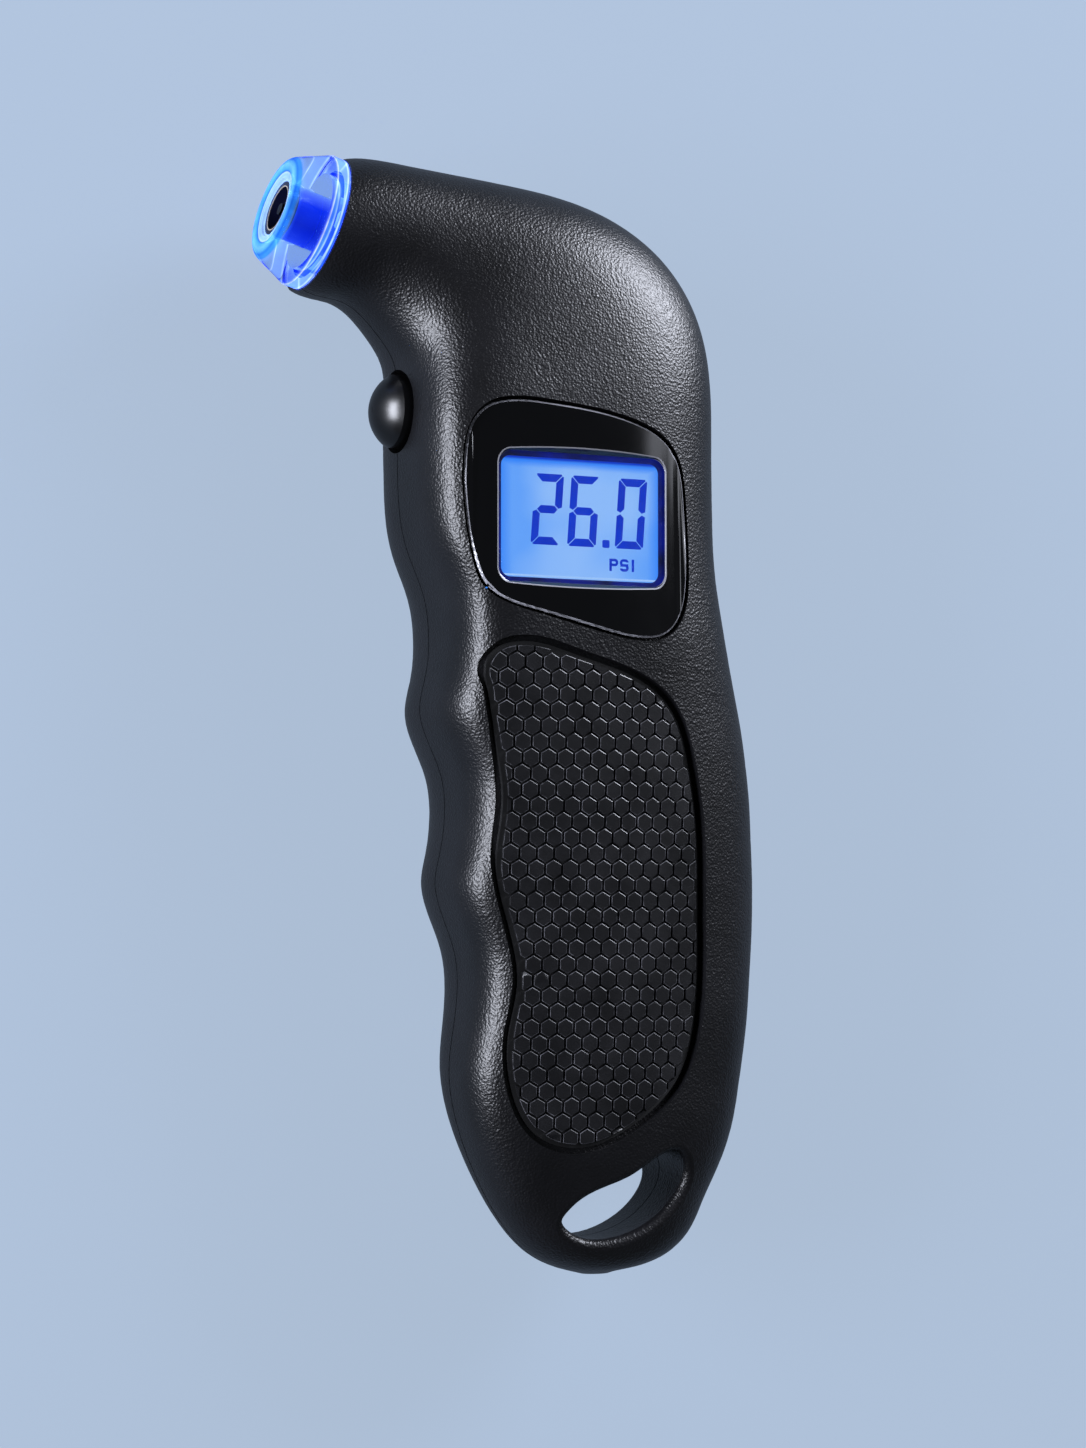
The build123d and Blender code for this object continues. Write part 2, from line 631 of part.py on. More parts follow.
# Battery door with its pad, and its screw
with BuildPart() as battery_door:
    add(centred(CELL_X, door_y, DOOR_WIDTH, DOOR_LENGTH, DOOR_SINK, door_top, DOOR_CORNER - FIT))
    add(casing_form(DOOR_SINK), mode=Mode.INTERSECT)
    add(post(CELL_X, CELL_Y, DOOR_PAD_RADIUS, DOOR_SINK, CELL_LEVEL - SLIP))
    add(post(CELL_X, door_screw_y, DOOR_SCREW_HEAD + 0.1, -1, door_head_top), mode=Mode.SUBTRACT)
    add(post(CELL_X, door_screw_y, DOOR_SCREW_RADIUS + 0.1, -1, door_top + 1), mode=Mode.SUBTRACT)
    for step in range(DOOR_RIBS):
        rib_y = door_y - DOOR_LENGTH / 2 + 7.5 + step * 1.6
        add(centred(CELL_X, rib_y, DOOR_WIDTH / 2, 0.7, -1, DOOR_SINK + 0.3), mode=Mode.SUBTRACT)
save(battery_door.part, "battery_door")
with BuildPart() as door_screw:
    add(post(CELL_X, door_screw_y, DOOR_SCREW_HEAD, door_head_top - DOOR_HEAD_HEIGHT, door_head_top))
    add(post(CELL_X, door_screw_y, DOOR_SCREW_RADIUS, door_head_top, door_head_top + DOOR_SCREW_LENGTH))
    add(cross_slot(CELL_X, door_screw_y, 2.4, 0.5, door_head_top - DOOR_HEAD_HEIGHT / 2), mode=Mode.SUBTRACT)
save(door_screw.part, "door_screw")

# Coin cell, its two contacts and their wires up to the circuit board
with BuildPart() as coin_cell:
    add(post(CELL_X, CELL_Y, CELL_RADIUS, CELL_LEVEL, CELL_LEVEL + CELL_THICKNESS))
    fillet(coin_cell.edges(), 0.4)
save(coin_cell.part, "coin_cell")
contact_low = CELL_LEVEL + CELL_THICKNESS + SLIP
for side, label in ((-1, "negative_contact"), (1, "positive_contact")):
    slot_x = CELL_X + side * SLOT_OFFSET
    with BuildPart() as contact:
        inner_x = CELL_X + side * CONTACT_REACH
        add(box_between((min(inner_x, slot_x + side), CELL_Y - 3, contact_low),
                        (max(inner_x, slot_x + side), CELL_Y + 3, contact_low + CONTACT_THICKNESS)))
        add(centred(slot_x, CELL_Y, 2.4, CONTACT_THICKNESS, contact_low, tab_top))
    save(contact.part, label)
for side, label in ((-1, "negative_wire"), (1, "positive_wire")):
    slot_x = CELL_X + side * SLOT_OFFSET
    with BuildPart() as wire:
        route = [
            (slot_x, CELL_Y, tab_top + SLIP), (slot_x, CELL_Y, tab_top + 2.6),
            (slot_x, CELL_Y + 4, tab_top + 5.4), (slot_x, CELL_Y + 4, board_low - SLIP),
        ]
        add(tube(route, WIRE_RADIUS))
    save(wire.part, label)

# Five screws that hold the two halves of the casing together
for number, (x, y) in enumerate(SCREWS, 1):
    with BuildPart() as screw:
        add(post(x, y, HEAD_RADIUS, SCREW_SEAT - HEAD_HEIGHT, SCREW_SEAT))
        add(post(x, y, SCREW_RADIUS, SCREW_SEAT, screw_top))
        add(cross_slot(x, y, 2.8, 0.6, SCREW_SEAT - HEAD_HEIGHT / 2), mode=Mode.SUBTRACT)
    save(screw.part, f"housing_screw_{number}")

# Gloss frame around the display
with BuildPart() as display_bezel:
    add(outline_prism(BEZEL_OUTLINE, 0, bezel_seat, CROWN + 1))
    add(crown_cylinder(BEZEL_CURVE, BEZEL_HEAD, BEZEL_TAIL, BEZEL_SINK), mode=Mode.INTERSECT)
    chamfer(display_bezel.faces().filter_by(GeomType.CYLINDER).sort_by(SortBy.AREA)[-1].edges(), BEZEL_EDGE)
    for width, height, high in (
        (opening_width, opening_height, pane_low), (PANE_WIDTH + 0.2, PANE_HEIGHT + 0.2, pane_top),
    ):
        add(centred(DISPLAY_X, DISPLAY_Y, width, height, bezel_seat - 1, high), mode=Mode.SUBTRACT)
    with BuildSketch(Plane.XY.offset(pane_top)):
        with Locations((DISPLAY_X, DISPLAY_Y)):
            lip_corner = LIT_CORNER + RECESS_LIP
            RectangleRounded(LIT_WIDTH + 2 * RECESS_LIP, LIT_HEIGHT + 2 * RECESS_LIP, lip_corner)
    with BuildSketch(Plane.XY.offset(CROWN)):
        with Locations((DISPLAY_X, DISPLAY_Y)):
            RectangleRounded(RECESS_WIDTH, RECESS_HEIGHT, RECESS_CORNER)
    loft(mode=Mode.SUBTRACT)
save(display_bezel.part, "display_bezel")

# Clear window, liquid crystal glass, its black mask and the lit characters
with BuildPart() as display_window:
    add(centred(DISPLAY_X, DISPLAY_Y, PANE_WIDTH, PANE_HEIGHT, pane_low, pane_top, 0.5))
save(display_window.part, "display_window")
with BuildPart() as lcd_glass:
    add(centred(DISPLAY_X, DISPLAY_Y, GLASS_WIDTH, GLASS_HEIGHT, glass_low, glass_top))
save(lcd_glass.part, "lcd_glass")
with BuildPart() as lcd_mask:
    add(centred(DISPLAY_X, DISPLAY_Y, GLASS_WIDTH, GLASS_HEIGHT, glass_top, glass_top + MASK_THICKNESS))
    lit_area = centred(DISPLAY_X, DISPLAY_Y, LIT_WIDTH, LIT_HEIGHT, glass_top - 1, CROWN, LIT_CORNER)
    add(lit_area, mode=Mode.SUBTRACT)
save(lcd_mask.part, "lcd_mask")

wide = DIGIT_WIDTH
tall = DIGIT_HEIGHT
pen = DIGIT_STROKE
gap = DIGIT_SPACE
cut = DIGIT_CORNER
top_bar = [
    (cut / 2 + gap, tall - cut / 2), (cut, tall), (wide - cut, tall), (wide - cut / 2 - gap, tall - cut / 2),
    (wide - pen - gap, tall - pen), (pen + gap, tall - pen),
]
left_bar = [
    (0, tall - cut), (cut / 2, tall - cut / 2 - gap), (pen, tall - pen - gap), (pen, (tall + pen) / 2 + gap),
    (pen / 2, tall / 2 + 1.5 * gap), (0, tall / 2 + pen / 3),
]
middle_bar = [
    (pen / 2 + gap, tall / 2), (pen + gap, (tall + pen) / 2), (wide - pen - gap, (tall + pen) / 2),
    (wide - pen / 2 - gap, tall / 2), (wide - pen - gap, (tall - pen) / 2), (pen + gap, (tall - pen) / 2),
]
SEGMENTS = {
    "a": top_bar,
    "b": [(wide - x, y) for x, y in left_bar],
    "c": [(wide - x, tall - y) for x, y in left_bar],
    "d": [(x, tall - y) for x, y in top_bar],
    "e": [(x, tall - y) for x, y in left_bar],
    "f": left_bar,
    "g": middle_bar,
}
foot = DISPLAY_Y + DIGIT_BASE
with BuildPart() as lcd_segments:
    with BuildSketch(Plane.XY.offset(glass_top)):
        for left, lit in zip(DIGIT_LEFTS, ("abged", "afgcde", "abcdef")):
            for name in lit:
                leaning = [(DISPLAY_X + left + x + y * DIGIT_LEAN, foot + y) for x, y in SEGMENTS[name]]
                Polygon(*leaning, align=None)
        with Locations((DISPLAY_X + POINT_LEFT + pen / 2, foot + pen / 2)):
            RectangleRounded(pen, pen, pen / 5)
    extrude(amount=INK_THICKNESS)
    for start, letter in zip(UNIT_LEFTS, "PSI"):
        corner = (DISPLAY_X + start, DISPLAY_Y + UNIT_BASE)
        with BuildSketch(Plane.XY.offset(glass_top)):
            add(unit_letter(letter, corner))
        extrude(amount=INK_THICKNESS)
save(lcd_segments.part, "lcd_segments")

# Backlight, rubber connector and circuit board with its parts
with BuildPart() as light_guide:
    add(centred(DISPLAY_X, DISPLAY_Y, GUIDE_WIDTH, GUIDE_HEIGHT, guide_low, guide_top))
save(light_guide.part, "light_guide")
guide_end = DISPLAY_Y - GUIDE_HEIGHT / 2
with BuildPart() as backlight_led:
    lamp_y = guide_end - SLIP - LAMP_DEPTH / 2
    add(centred(DISPLAY_X, lamp_y, LAMP_WIDTH, LAMP_DEPTH, board_top, board_top + LAMP_HEIGHT))
save(backlight_led.part, "backlight_led")
strip_y = DISPLAY_Y + GUIDE_HEIGHT / 2 + SLIP + ZEBRA_WIDTH / 2
with BuildPart() as connector_strip:
    add(centred(DISPLAY_X, strip_y, ZEBRA_LENGTH, ZEBRA_WIDTH, board_top, glass_low))
save(connector_strip.part, "connector_strip")
with BuildPart() as circuit_board:
    add(box_between((BOARD_LEFT, BOARD_BOTTOM, board_low), (BOARD_RIGHT, BOARD_TOP, board_top), 1.0))
    for x, y in BOARD_POSTS:
        add(post(x, y, BOARD_SCREW_RADIUS + 0.1, board_low - 1, board_top + 1), mode=Mode.SUBTRACT)
save(circuit_board.part, "circuit_board")
with BuildPart() as controller_chip:
    add(centred(CHIP_X, CHIP_Y, CHIP_SIZE, CHIP_SIZE, board_low - CHIP_THICKNESS, board_low))
    for side in (-1, 1):
        for step in range(-3, 4):
            lead_x = CHIP_X + side * (CHIP_SIZE / 2 + 0.4)
            add(centred(lead_x, CHIP_Y + step * 0.9, 0.8, 0.4, board_low - 0.2, board_low))
save(controller_chip.part, "controller_chip")
with BuildPart() as board_components:
    for x, y in SMALL_PARTS:
        add(centred(x, y, 2.0, 1.25, board_low - 0.6, board_low))
save(board_components.part, "board_components")
for number, (x, y) in enumerate(BOARD_POSTS, 1):
    with BuildPart() as board_screw:
        add(post(x, y, BOARD_HEAD_RADIUS, board_low - BOARD_HEAD_HEIGHT, board_low))
        add(post(x, y, BOARD_SCREW_RADIUS, board_low, board_low + BOARD_SCREW_LENGTH))
    save(board_screw.part, f"board_screw_{number}")

# Rubber grip pad in its pocket, and the rows of hexagonal studs on it
with BuildPart() as front_grip_pad:
    add(outline_prism(PAD_OUTLINE, 0, PARTING, CROWN + 1))
    add(crown_cylinder(PAD_CURVE, PAD_HEAD, PAD_TAIL, PAD_SINK + STUD_HEIGHT), mode=Mode.INTERSECT)
    add(crown_cylinder(PAD_CURVE, PAD_HEAD, PAD_TAIL, PAD_DEPTH - SLIP), mode=Mode.SUBTRACT)
save(front_grip_pad.part, "front_grip_pad")

with BuildSketch() as stud_field:
    with BuildLine():
        Spline(*spread_outline(PAD_OUTLINE, -PAD_BORDER), periodic=True)
    make_face()
field = stud_field.sketch.faces()[0]
border = [field.outer_wire() @ (step / 200) for step in range(200)]
stud_radius = (STUD_PITCH - STUD_GAP) / sqrt(3)
row_step = STUD_PITCH * sqrt(3) / 2
field_box = field.bounding_box()
rows = int(field_box.size.Y / row_step) + 2
columns = int(field_box.size.X / STUD_PITCH) + 2
corners = []
for turn in range(6):
    corners.append((stud_radius * sin(turn * pi / 3), stud_radius * cos(turn * pi / 3)))
with BuildPart() as whole_stud:
    with BuildSketch():
        Polygon(*corners, align=None)
    extrude(amount=STUD_HEIGHT)
studs = []
for row in range(rows):
    for column in range(columns):
        x = field_box.min.X + (column + row % 2 / 2) * STUD_PITCH
        y = field_box.max.Y - row * row_step
        inside = sum(is_within(x + across, y + along, border) for across, along in corners)
        seat = pad_plane(x, y, PAD_SINK + STUD_HEIGHT)
        if inside == 6:
            studs.append(whole_stud.solid().moved(seat.location))
        if 0 < inside < 6:
            with BuildPart() as cut_stud:
                with BuildSketch():
                    Polygon(*corners, align=None)
                    add(field.moved(Location((-x, -y, 0))), mode=Mode.INTERSECT)
                extrude(amount=STUD_HEIGHT)
            if cut_stud.part.volume > STUD_SMALLEST * STUD_HEIGHT:
                studs.append(cut_stud.solid().moved(seat.location))
save(Compound(studs), "grip_studs")

# Power button: a dome with two holding tabs and a post, the switch and its plunger
BUTTON_PLANE = Plane(origin=(finger_wall, BUTTON_Y, PARTING), x_dir=(-1, 0, 0), z_dir=(0, 0, -1))
tab_inner = -TAB_INSET - TAB_THICKNESS
tab_x = finger_wall + TAB_INSET
plunger_tip = PLUNGER_REACH - SWITCH_INSET
with BuildPart() as power_button:
    with BuildSketch(BUTTON_PLANE):
        with BuildLine():
            Polyline(
                (BUTTON_RISE, 0), (plunger_tip, 0), (plunger_tip, POST_RADIUS), (tab_inner, POST_RADIUS),
                (tab_inner, BUTTON_RADIUS), (BUTTON_BARREL, BUTTON_RADIUS),
            )
            ThreePointArc((BUTTON_BARREL, BUTTON_RADIUS), dome_middle, (BUTTON_RISE, 0))
        make_face()
    revolve(axis=Axis((finger_wall, BUTTON_Y, PARTING), (1, 0, 0)))
    add(box_between((tab_x, BUTTON_Y - TAB_LENGTH / 2, PARTING - TAB_WIDTH / 2),
                    (tab_x + TAB_THICKNESS, BUTTON_Y + TAB_LENGTH / 2, PARTING + TAB_WIDTH / 2)))
save(power_button.part, "power_button")
switch_face = finger_wall + SWITCH_INSET
switch_low = board_low - SWITCH_DROP
with BuildPart() as switch_plunger:
    with BuildSketch(Plane.YZ.offset(switch_face - PLUNGER_REACH)):
        with Locations((BUTTON_Y, PARTING)):
            Circle(PLUNGER_RADIUS)
    extrude(amount=PLUNGER_REACH + PLUNGER_TAIL)
save(switch_plunger.part, "switch_plunger")
with BuildPart() as switch_body:
    add(box_between((switch_face, BUTTON_Y - SWITCH_WIDTH / 2, switch_low),
                    (switch_face + SWITCH_DEPTH, BUTTON_Y + SWITCH_WIDTH / 2, board_low)))
    with BuildSketch(Plane.YZ.offset(switch_face - 1)):
        with Locations((BUTTON_Y, PARTING)):
            Circle(PLUNGER_RADIUS + SLIP)
    extrude(amount=1 + PLUNGER_TAIL + BUTTON_TRAVEL + 0.1, mode=Mode.SUBTRACT)
save(switch_body.part, "switch_body")

# Nozzle: clear lens, its core, rubber mouth seal, valve depressor
lens_start = 0.1
lens_radius = COLLAR_RADIUS - 0.1
cone_end = TIP_RADIUS - RIM_ROUND / 2
core_face = CORE_FLANGE_START + CORE_FLANGE_THICKNESS
seal_start = core_face + NOZZLE_CORE_REACH
seal_end = seal_start + SEAL_THICKNESS
mouth_start = NOZZLE_LENGTH - MOUTH_CHAMFER - MOUTH_LENGTH
with BuildPart() as nozzle_lens:
    with BuildSketch(NOZZLE_PLANE) as lens_profile:
        with BuildLine():
            Polyline(
                (-LENS_SPIGOT, CORE_FLANGE + 0.1), (-LENS_SPIGOT, COLLAR_BORE - SLIP),
                (lens_start, COLLAR_BORE - SLIP), (lens_start, lens_radius), (LENS_BAND, lens_radius),
                (NOZZLE_LENGTH, cone_end), (NOZZLE_LENGTH, MOUTH_RIM),
                (NOZZLE_LENGTH - MOUTH_CHAMFER, MOUTH_RADIUS), (mouth_start, MOUTH_RADIUS),
                (mouth_start, LENS_BORE), (core_face + SLIP, LENS_BORE), (core_face + SLIP, CORE_FLANGE + 0.1),
                close=True,
            )
        make_face()
        fillet(lens_profile.vertices().sort_by(Axis((0, 0, 0), (1, 0.6, 0)))[-1], RIM_ROUND)
    revolve(axis=NOZZLE_AXIS)
save(nozzle_lens.part, "nozzle_lens")
groove_start = O_RING_PLACE + 0.6
groove_end = O_RING_PLACE - 0.6
with BuildPart() as nozzle_core:
    add(nozzle_turned([
        (-CORE_TAIL, CORE_BORE), (-CORE_TAIL, CORE_RADIUS), (-groove_start, CORE_RADIUS),
        (-groove_start, groove_radius), (-groove_end, groove_radius), (-groove_end, CORE_RADIUS),
        (CORE_FLANGE_START, CORE_RADIUS), (CORE_FLANGE_START, CORE_FLANGE), (core_face, CORE_FLANGE),
        (core_face, CORE_RADIUS), (seal_start - SLIP, CORE_RADIUS), (seal_start - SLIP, CORE_BORE),
    ]))
save(nozzle_core.part, "nozzle_core")
with BuildPart() as mouth_seal:
    add(nozzle_ring(seal_start, seal_end, SEAL_BORE, LENS_BORE - SLIP))
save(mouth_seal.part, "mouth_seal")
with BuildPart() as valve_depressor:
    add(nozzle_ring(PIN_START, PIN_START + PIN_BASE, 0, CORE_BORE - 0.03))
    add(nozzle_ring(PIN_START, PIN_START + PIN_LENGTH, 0, PIN_RADIUS))
    with BuildSketch(Plane(origin=NOZZLE_PLANE.origin, z_dir=OUT)):
        with PolarLocations(1.5, 4):
            Circle(AIR_HOLE)
    extrude(amount=NOZZLE_LENGTH, mode=Mode.SUBTRACT)
save(valve_depressor.part, "valve_depressor")
with BuildPart() as o_ring:
    with BuildSketch(NOZZLE_PLANE):
        with Locations((-O_RING_PLACE, (groove_radius + BLOCK_BORE) / 2)):
            Circle(O_RING_RADIUS)
    revolve(axis=NOZZLE_AXIS)
save(o_ring.part, "o_ring")

# Sensor block behind the nozzle, its gasket, the pressure sensor, lamp and cable
block_end = BLOCK_START + BLOCK_LENGTH
bore_end = BLOCK_START + BLOCK_BORE_LENGTH
pocket_face = block_end - SENSOR_POCKET
with BuildPart() as sensor_block:
    add(nozzle_turned([
        (-BLOCK_START, BLOCK_BORE), (-BLOCK_START, BLOCK_RADIUS), (-block_end, BLOCK_RADIUS),
        (-block_end, SENSOR_RADIUS + SLIP), (-pocket_face, SENSOR_RADIUS + SLIP), (-pocket_face, AIR_CHANNEL),
        (-bore_end, AIR_CHANNEL), (-bore_end, BLOCK_BORE),
    ]))
save(sensor_block.part, "sensor_block")
with BuildPart() as sensor_gasket:
    add(nozzle_ring(-pocket_face - GASKET_THICKNESS, -pocket_face, 1.0, SENSOR_RADIUS - SLIP))
save(sensor_gasket.part, "sensor_gasket")
sensor_face = pocket_face + GASKET_THICKNESS + SLIP
with BuildPart() as pressure_sensor:
    add(nozzle_ring(-sensor_face - SENSOR_THICKNESS, -sensor_face, 0, SENSOR_RADIUS))
save(pressure_sensor.part, "pressure_sensor")
led_plane = Plane(origin=NOZZLE_PLANE.origin, x_dir=(0, 0, 1), z_dir=OUT)
with BuildPart() as nozzle_led:
    with BuildSketch(led_plane.offset(-BLOCK_START + SLIP)):
        with PolarLocations(LED_OFFSET, 3):
            Circle(LED_RADIUS)
    extrude(amount=LED_LENGTH)
save(nozzle_led.part, "nozzle_led")
sensor_end = NOZZLE_PLANE.origin - OUT * (sensor_face + SENSOR_THICKNESS + SLIP)
with BuildPart() as sensor_cable:
    route = [
        sensor_end, sensor_end - OUT * 6, (-2.5, BOARD_TOP + 3, PARTING - 1),
        (-2.5, BOARD_TOP - 3, PARTING - 1), (-2.5, BOARD_TOP - 3, board_low - SLIP),
    ]
    add(tube(route, CABLE_RADIUS))
save(sensor_cable.part, "sensor_cable")
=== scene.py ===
"""Dresses a digital tyre pressure gauge: its finishes, finer mesh detail, lamps and camera."""

from __future__ import annotations

import json
import logging
import math
from dataclasses import dataclass
from enum import Enum
from typing import Any, Sequence

import bpy
from mathutils import Matrix, Vector

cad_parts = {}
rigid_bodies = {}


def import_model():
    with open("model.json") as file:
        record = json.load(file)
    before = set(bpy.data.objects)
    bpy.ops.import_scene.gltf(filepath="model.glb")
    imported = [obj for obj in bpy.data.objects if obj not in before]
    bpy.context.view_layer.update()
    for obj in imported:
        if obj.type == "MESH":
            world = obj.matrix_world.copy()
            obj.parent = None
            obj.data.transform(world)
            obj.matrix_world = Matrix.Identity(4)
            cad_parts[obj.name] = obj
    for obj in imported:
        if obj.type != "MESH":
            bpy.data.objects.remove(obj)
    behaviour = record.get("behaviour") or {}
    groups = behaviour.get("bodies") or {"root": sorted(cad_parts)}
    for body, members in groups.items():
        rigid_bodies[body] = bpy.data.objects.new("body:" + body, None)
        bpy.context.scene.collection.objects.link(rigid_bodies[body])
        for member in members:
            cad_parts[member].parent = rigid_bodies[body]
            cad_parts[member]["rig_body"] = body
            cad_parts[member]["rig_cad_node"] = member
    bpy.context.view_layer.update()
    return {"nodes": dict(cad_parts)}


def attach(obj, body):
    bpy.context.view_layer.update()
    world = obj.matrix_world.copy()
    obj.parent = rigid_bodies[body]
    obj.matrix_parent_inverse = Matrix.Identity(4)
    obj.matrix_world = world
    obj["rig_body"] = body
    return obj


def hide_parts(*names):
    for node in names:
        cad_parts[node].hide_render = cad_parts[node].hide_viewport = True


LOG = logging.getLogger("gauge")
MM = 0.001

# Points closer than this are one point, and faces flatter than this are one face
MERGE_MM = 0.002
FLAT_DEGREES = 0.5

# Places shared by the pieces, in millimetres in the gauge's own frame
PARTING_HEIGHT = 13.5
DISPLAY_CENTRE = (4.2, 26.3)
LIT_SIZE = (23.4, 16.0)
OPENING_SIZE = (27.2, 19.0)
COLLAR_CENTRE = (-27.8, 65.45, 13.5)
NOZZLE_TURN = 180.0 - 16.0
NOZZLE_LENGTH = 6.95
LENS_RADIUS = 9.1
# The mouth's face lies between these two distances out along the nozzle
MOUTH_FACE = (6.0, 6.3)


def linear(colour: str) -> tuple[float, float, float, float]:
    """Turns an sRGB hex colour into a linear one.

    Args:
        colour: Six hex digits after a hash.

    Returns:
        Red, green and blue in linear light, and an alpha of one.
    """
    parts = [int(colour[start : start + 2], 16) / 255 for start in (1, 3, 5)]
    turned = [part / 12.92 if part <= 0.04045 else ((part + 0.055) / 1.055) ** 2.4 for part in parts]
    return (turned[0], turned[1], turned[2], 1.0)


def add_node(
    tree: bpy.types.NodeTree,
    kind: str,
    inputs: dict[Any, Any] | None = None,
    stops: Sequence[tuple[float, str]] = (),
    **settings: Any,
) -> Any:
    """Adds one shader node with its settings and its links.

    Args:
        tree: The material's or the world's node tree.
        kind: The node's type name.
        inputs: For each input's name or place, a value, or an output or a node to link to it.
        stops: Places and hex colours along the node's ramp, where it has one.
        settings: Properties of the node itself.

    Returns:
        The new node.
    """
    made = tree.nodes.new(kind)
    for name, value in settings.items():
        setattr(made, name, value)
    for key, value in (inputs or {}).items():
        if isinstance(value, bpy.types.Node):
            value = value.outputs[0]
        if isinstance(value, bpy.types.NodeSocket):
            tree.links.new(value, made.inputs[key])
        else:
            made.inputs[key].default_value = value
    for index, (place, colour) in enumerate(stops):
        points = made.color_ramp.elements
        point = points[index] if index < len(points) else points.new(place)
        point.position, point.color = place, linear(colour)
    return made


def new_material(name: str) -> tuple[bpy.types.Material, bpy.types.NodeTree, Any]:
    """Makes an empty node material.

    Args:
        name: The finish's name.

    Returns:
        The material, its node tree and the output of its object coordinates.
    """
    material = bpy.data.materials.new(name)
    material.use_nodes = True
    material.node_tree.nodes.clear()
    place = add_node(material.node_tree, "ShaderNodeTexCoord").outputs["Object"]
    return material, material.node_tree, place


def per_mm(size_mm: float) -> float:
    """Gives the scale of a pattern whose cells are this size, in millimetres."""
    return 1 / (size_mm * MM)


def nozzle_place(tree: bpy.types.NodeTree, place: Any) -> tuple[Any, Any, Any]:
    """Finds where a point lies on the nozzle.

    Args:
        tree: The node tree.
        place: The output of the object coordinates, in metres.

    Returns:
        The outputs of the distance out along its axis, across it towards its lower side, and from the axis,
        all in millimetres.
    """
    local = add_node(
        tree,
        "ShaderNodeMapping",
        {
            "Vector": place,
            "Location": [part * MM for part in COLLAR_CENTRE],
            "Rotation": (0.0, 0.0, math.radians(NOZZLE_TURN)),
            "Scale": (MM, MM, MM),
        },
        vector_type="TEXTURE",
    )
    apart = add_node(tree, "ShaderNodeSeparateXYZ", {"Vector": local})
    flat = add_node(tree, "ShaderNodeCombineXYZ", {"Y": apart.outputs["Y"], "Z": apart.outputs["Z"]})
    radius = add_node(tree, "ShaderNodeVectorMath", {0: flat}, operation="LENGTH")
    return apart.outputs["X"], apart.outputs["Y"], radius.outputs["Value"]


@dataclass(frozen=True)
class GrainedAbs:
    """ABS moulded in a spark-eroded tool: dull black, with a leathery grain that breaks up its sheen."""

    name: str
    colour: str
    worn_colour: str
    roughness: float
    grain_mm: float
    relief_mm: float
    seam_mm: float
    patch_mm: float = 9.0
    noise_share: float = 1.4
    sheen: float = 0.42
    seam_colour: str = "#010101"

    def material(self) -> bpy.types.Material:
        """Builds the finish: leather cells over fine noise, and a dark line where the halves meet."""
        material, tree, place = new_material(self.name)
        cells = add_node(
            tree,
            "ShaderNodeTexVoronoi",
            {"Vector": place, "Scale": per_mm(self.grain_mm), "Smoothness": 0.5},
            feature="SMOOTH_F1",
        )
        noise = add_node(
            tree,
            "ShaderNodeTexNoise",
            {"Vector": place, "Scale": per_mm(self.grain_mm * self.noise_share), "Detail": 3.0},
        )
        height = add_node(tree, "ShaderNodeMath", {0: cells, 1: noise}, operation="ADD")
        bump = add_node(
            tree, "ShaderNodeBump", {"Height": height, "Strength": 1.0, "Distance": self.relief_mm * MM}
        )
        patch = add_node(
            tree, "ShaderNodeTexNoise", {"Vector": place, "Scale": per_mm(self.patch_mm), "Detail": 2.0}
        )
        colour = add_node(
            tree, "ShaderNodeValToRGB", {"Fac": patch}, [(0.35, self.colour), (0.75, self.worn_colour)]
        )
        rough = add_node(
            tree,
            "ShaderNodeMapRange",
            {"Value": patch, "To Min": self.roughness - 0.04, "To Max": self.roughness + 0.05},
        )
        rise = add_node(tree, "ShaderNodeSeparateXYZ", {"Vector": place}).outputs["Z"]
        seam = add_node(
            tree,
            "ShaderNodeMath",
            {0: rise, 1: PARTING_HEIGHT * MM, 2: self.seam_mm * MM},
            operation="COMPARE",
        )
        dark = add_node(
            tree,
            "ShaderNodeMix",
            {"Factor": seam, 6: colour, 7: linear(self.seam_colour)},
            data_type="RGBA",
        )
        gloss = add_node(tree, "ShaderNodeMapRange", {"Value": seam, "To Min": self.sheen, "To Max": 0.0})
        shader = add_node(
            tree,
            "ShaderNodeBsdfPrincipled",
            {
                "Base Color": dark.outputs[2],
                "Roughness": rough,
                "Normal": bump,
                "Specular IOR Level": gloss,
            },
        )
        add_node(tree, "ShaderNodeOutputMaterial", {"Surface": shader})
        return material


@dataclass(frozen=True)
class GlossPlastic:
    """Polished or painted plastic: a mirror made imperfect by flow marks and faint smudges."""

    name: str
    colour: str
    roughness: float
    wave_mm: float = 6.0
    relief_mm: float = 0.004
    smudge_mm: float = 3.5

    def material(self) -> bpy.types.Material:
        """Builds the finish: an even colour, with soft waviness and faint smudges in its gloss."""
        material, tree, place = new_material(self.name)
        wave = add_node(
            tree, "ShaderNodeTexNoise", {"Vector": place, "Scale": per_mm(self.wave_mm), "Detail": 1.0}
        )
        smudge = add_node(
            tree, "ShaderNodeTexNoise", {"Vector": place, "Scale": per_mm(self.smudge_mm), "Detail": 5.0}
        )
        rough = add_node(
            tree,
            "ShaderNodeMapRange",
            {"Value": smudge, "To Min": self.roughness * 0.8, "To Max": self.roughness * 1.4},
        )
        bump = add_node(
            tree, "ShaderNodeBump", {"Height": wave, "Strength": 1.0, "Distance": self.relief_mm * MM}
        )
        shader = add_node(
            tree,
            "ShaderNodeBsdfPrincipled",
            {"Base Color": linear(self.colour), "Roughness": rough, "Normal": bump},
        )
        add_node(tree, "ShaderNodeOutputMaterial", {"Surface": shader})
        return material


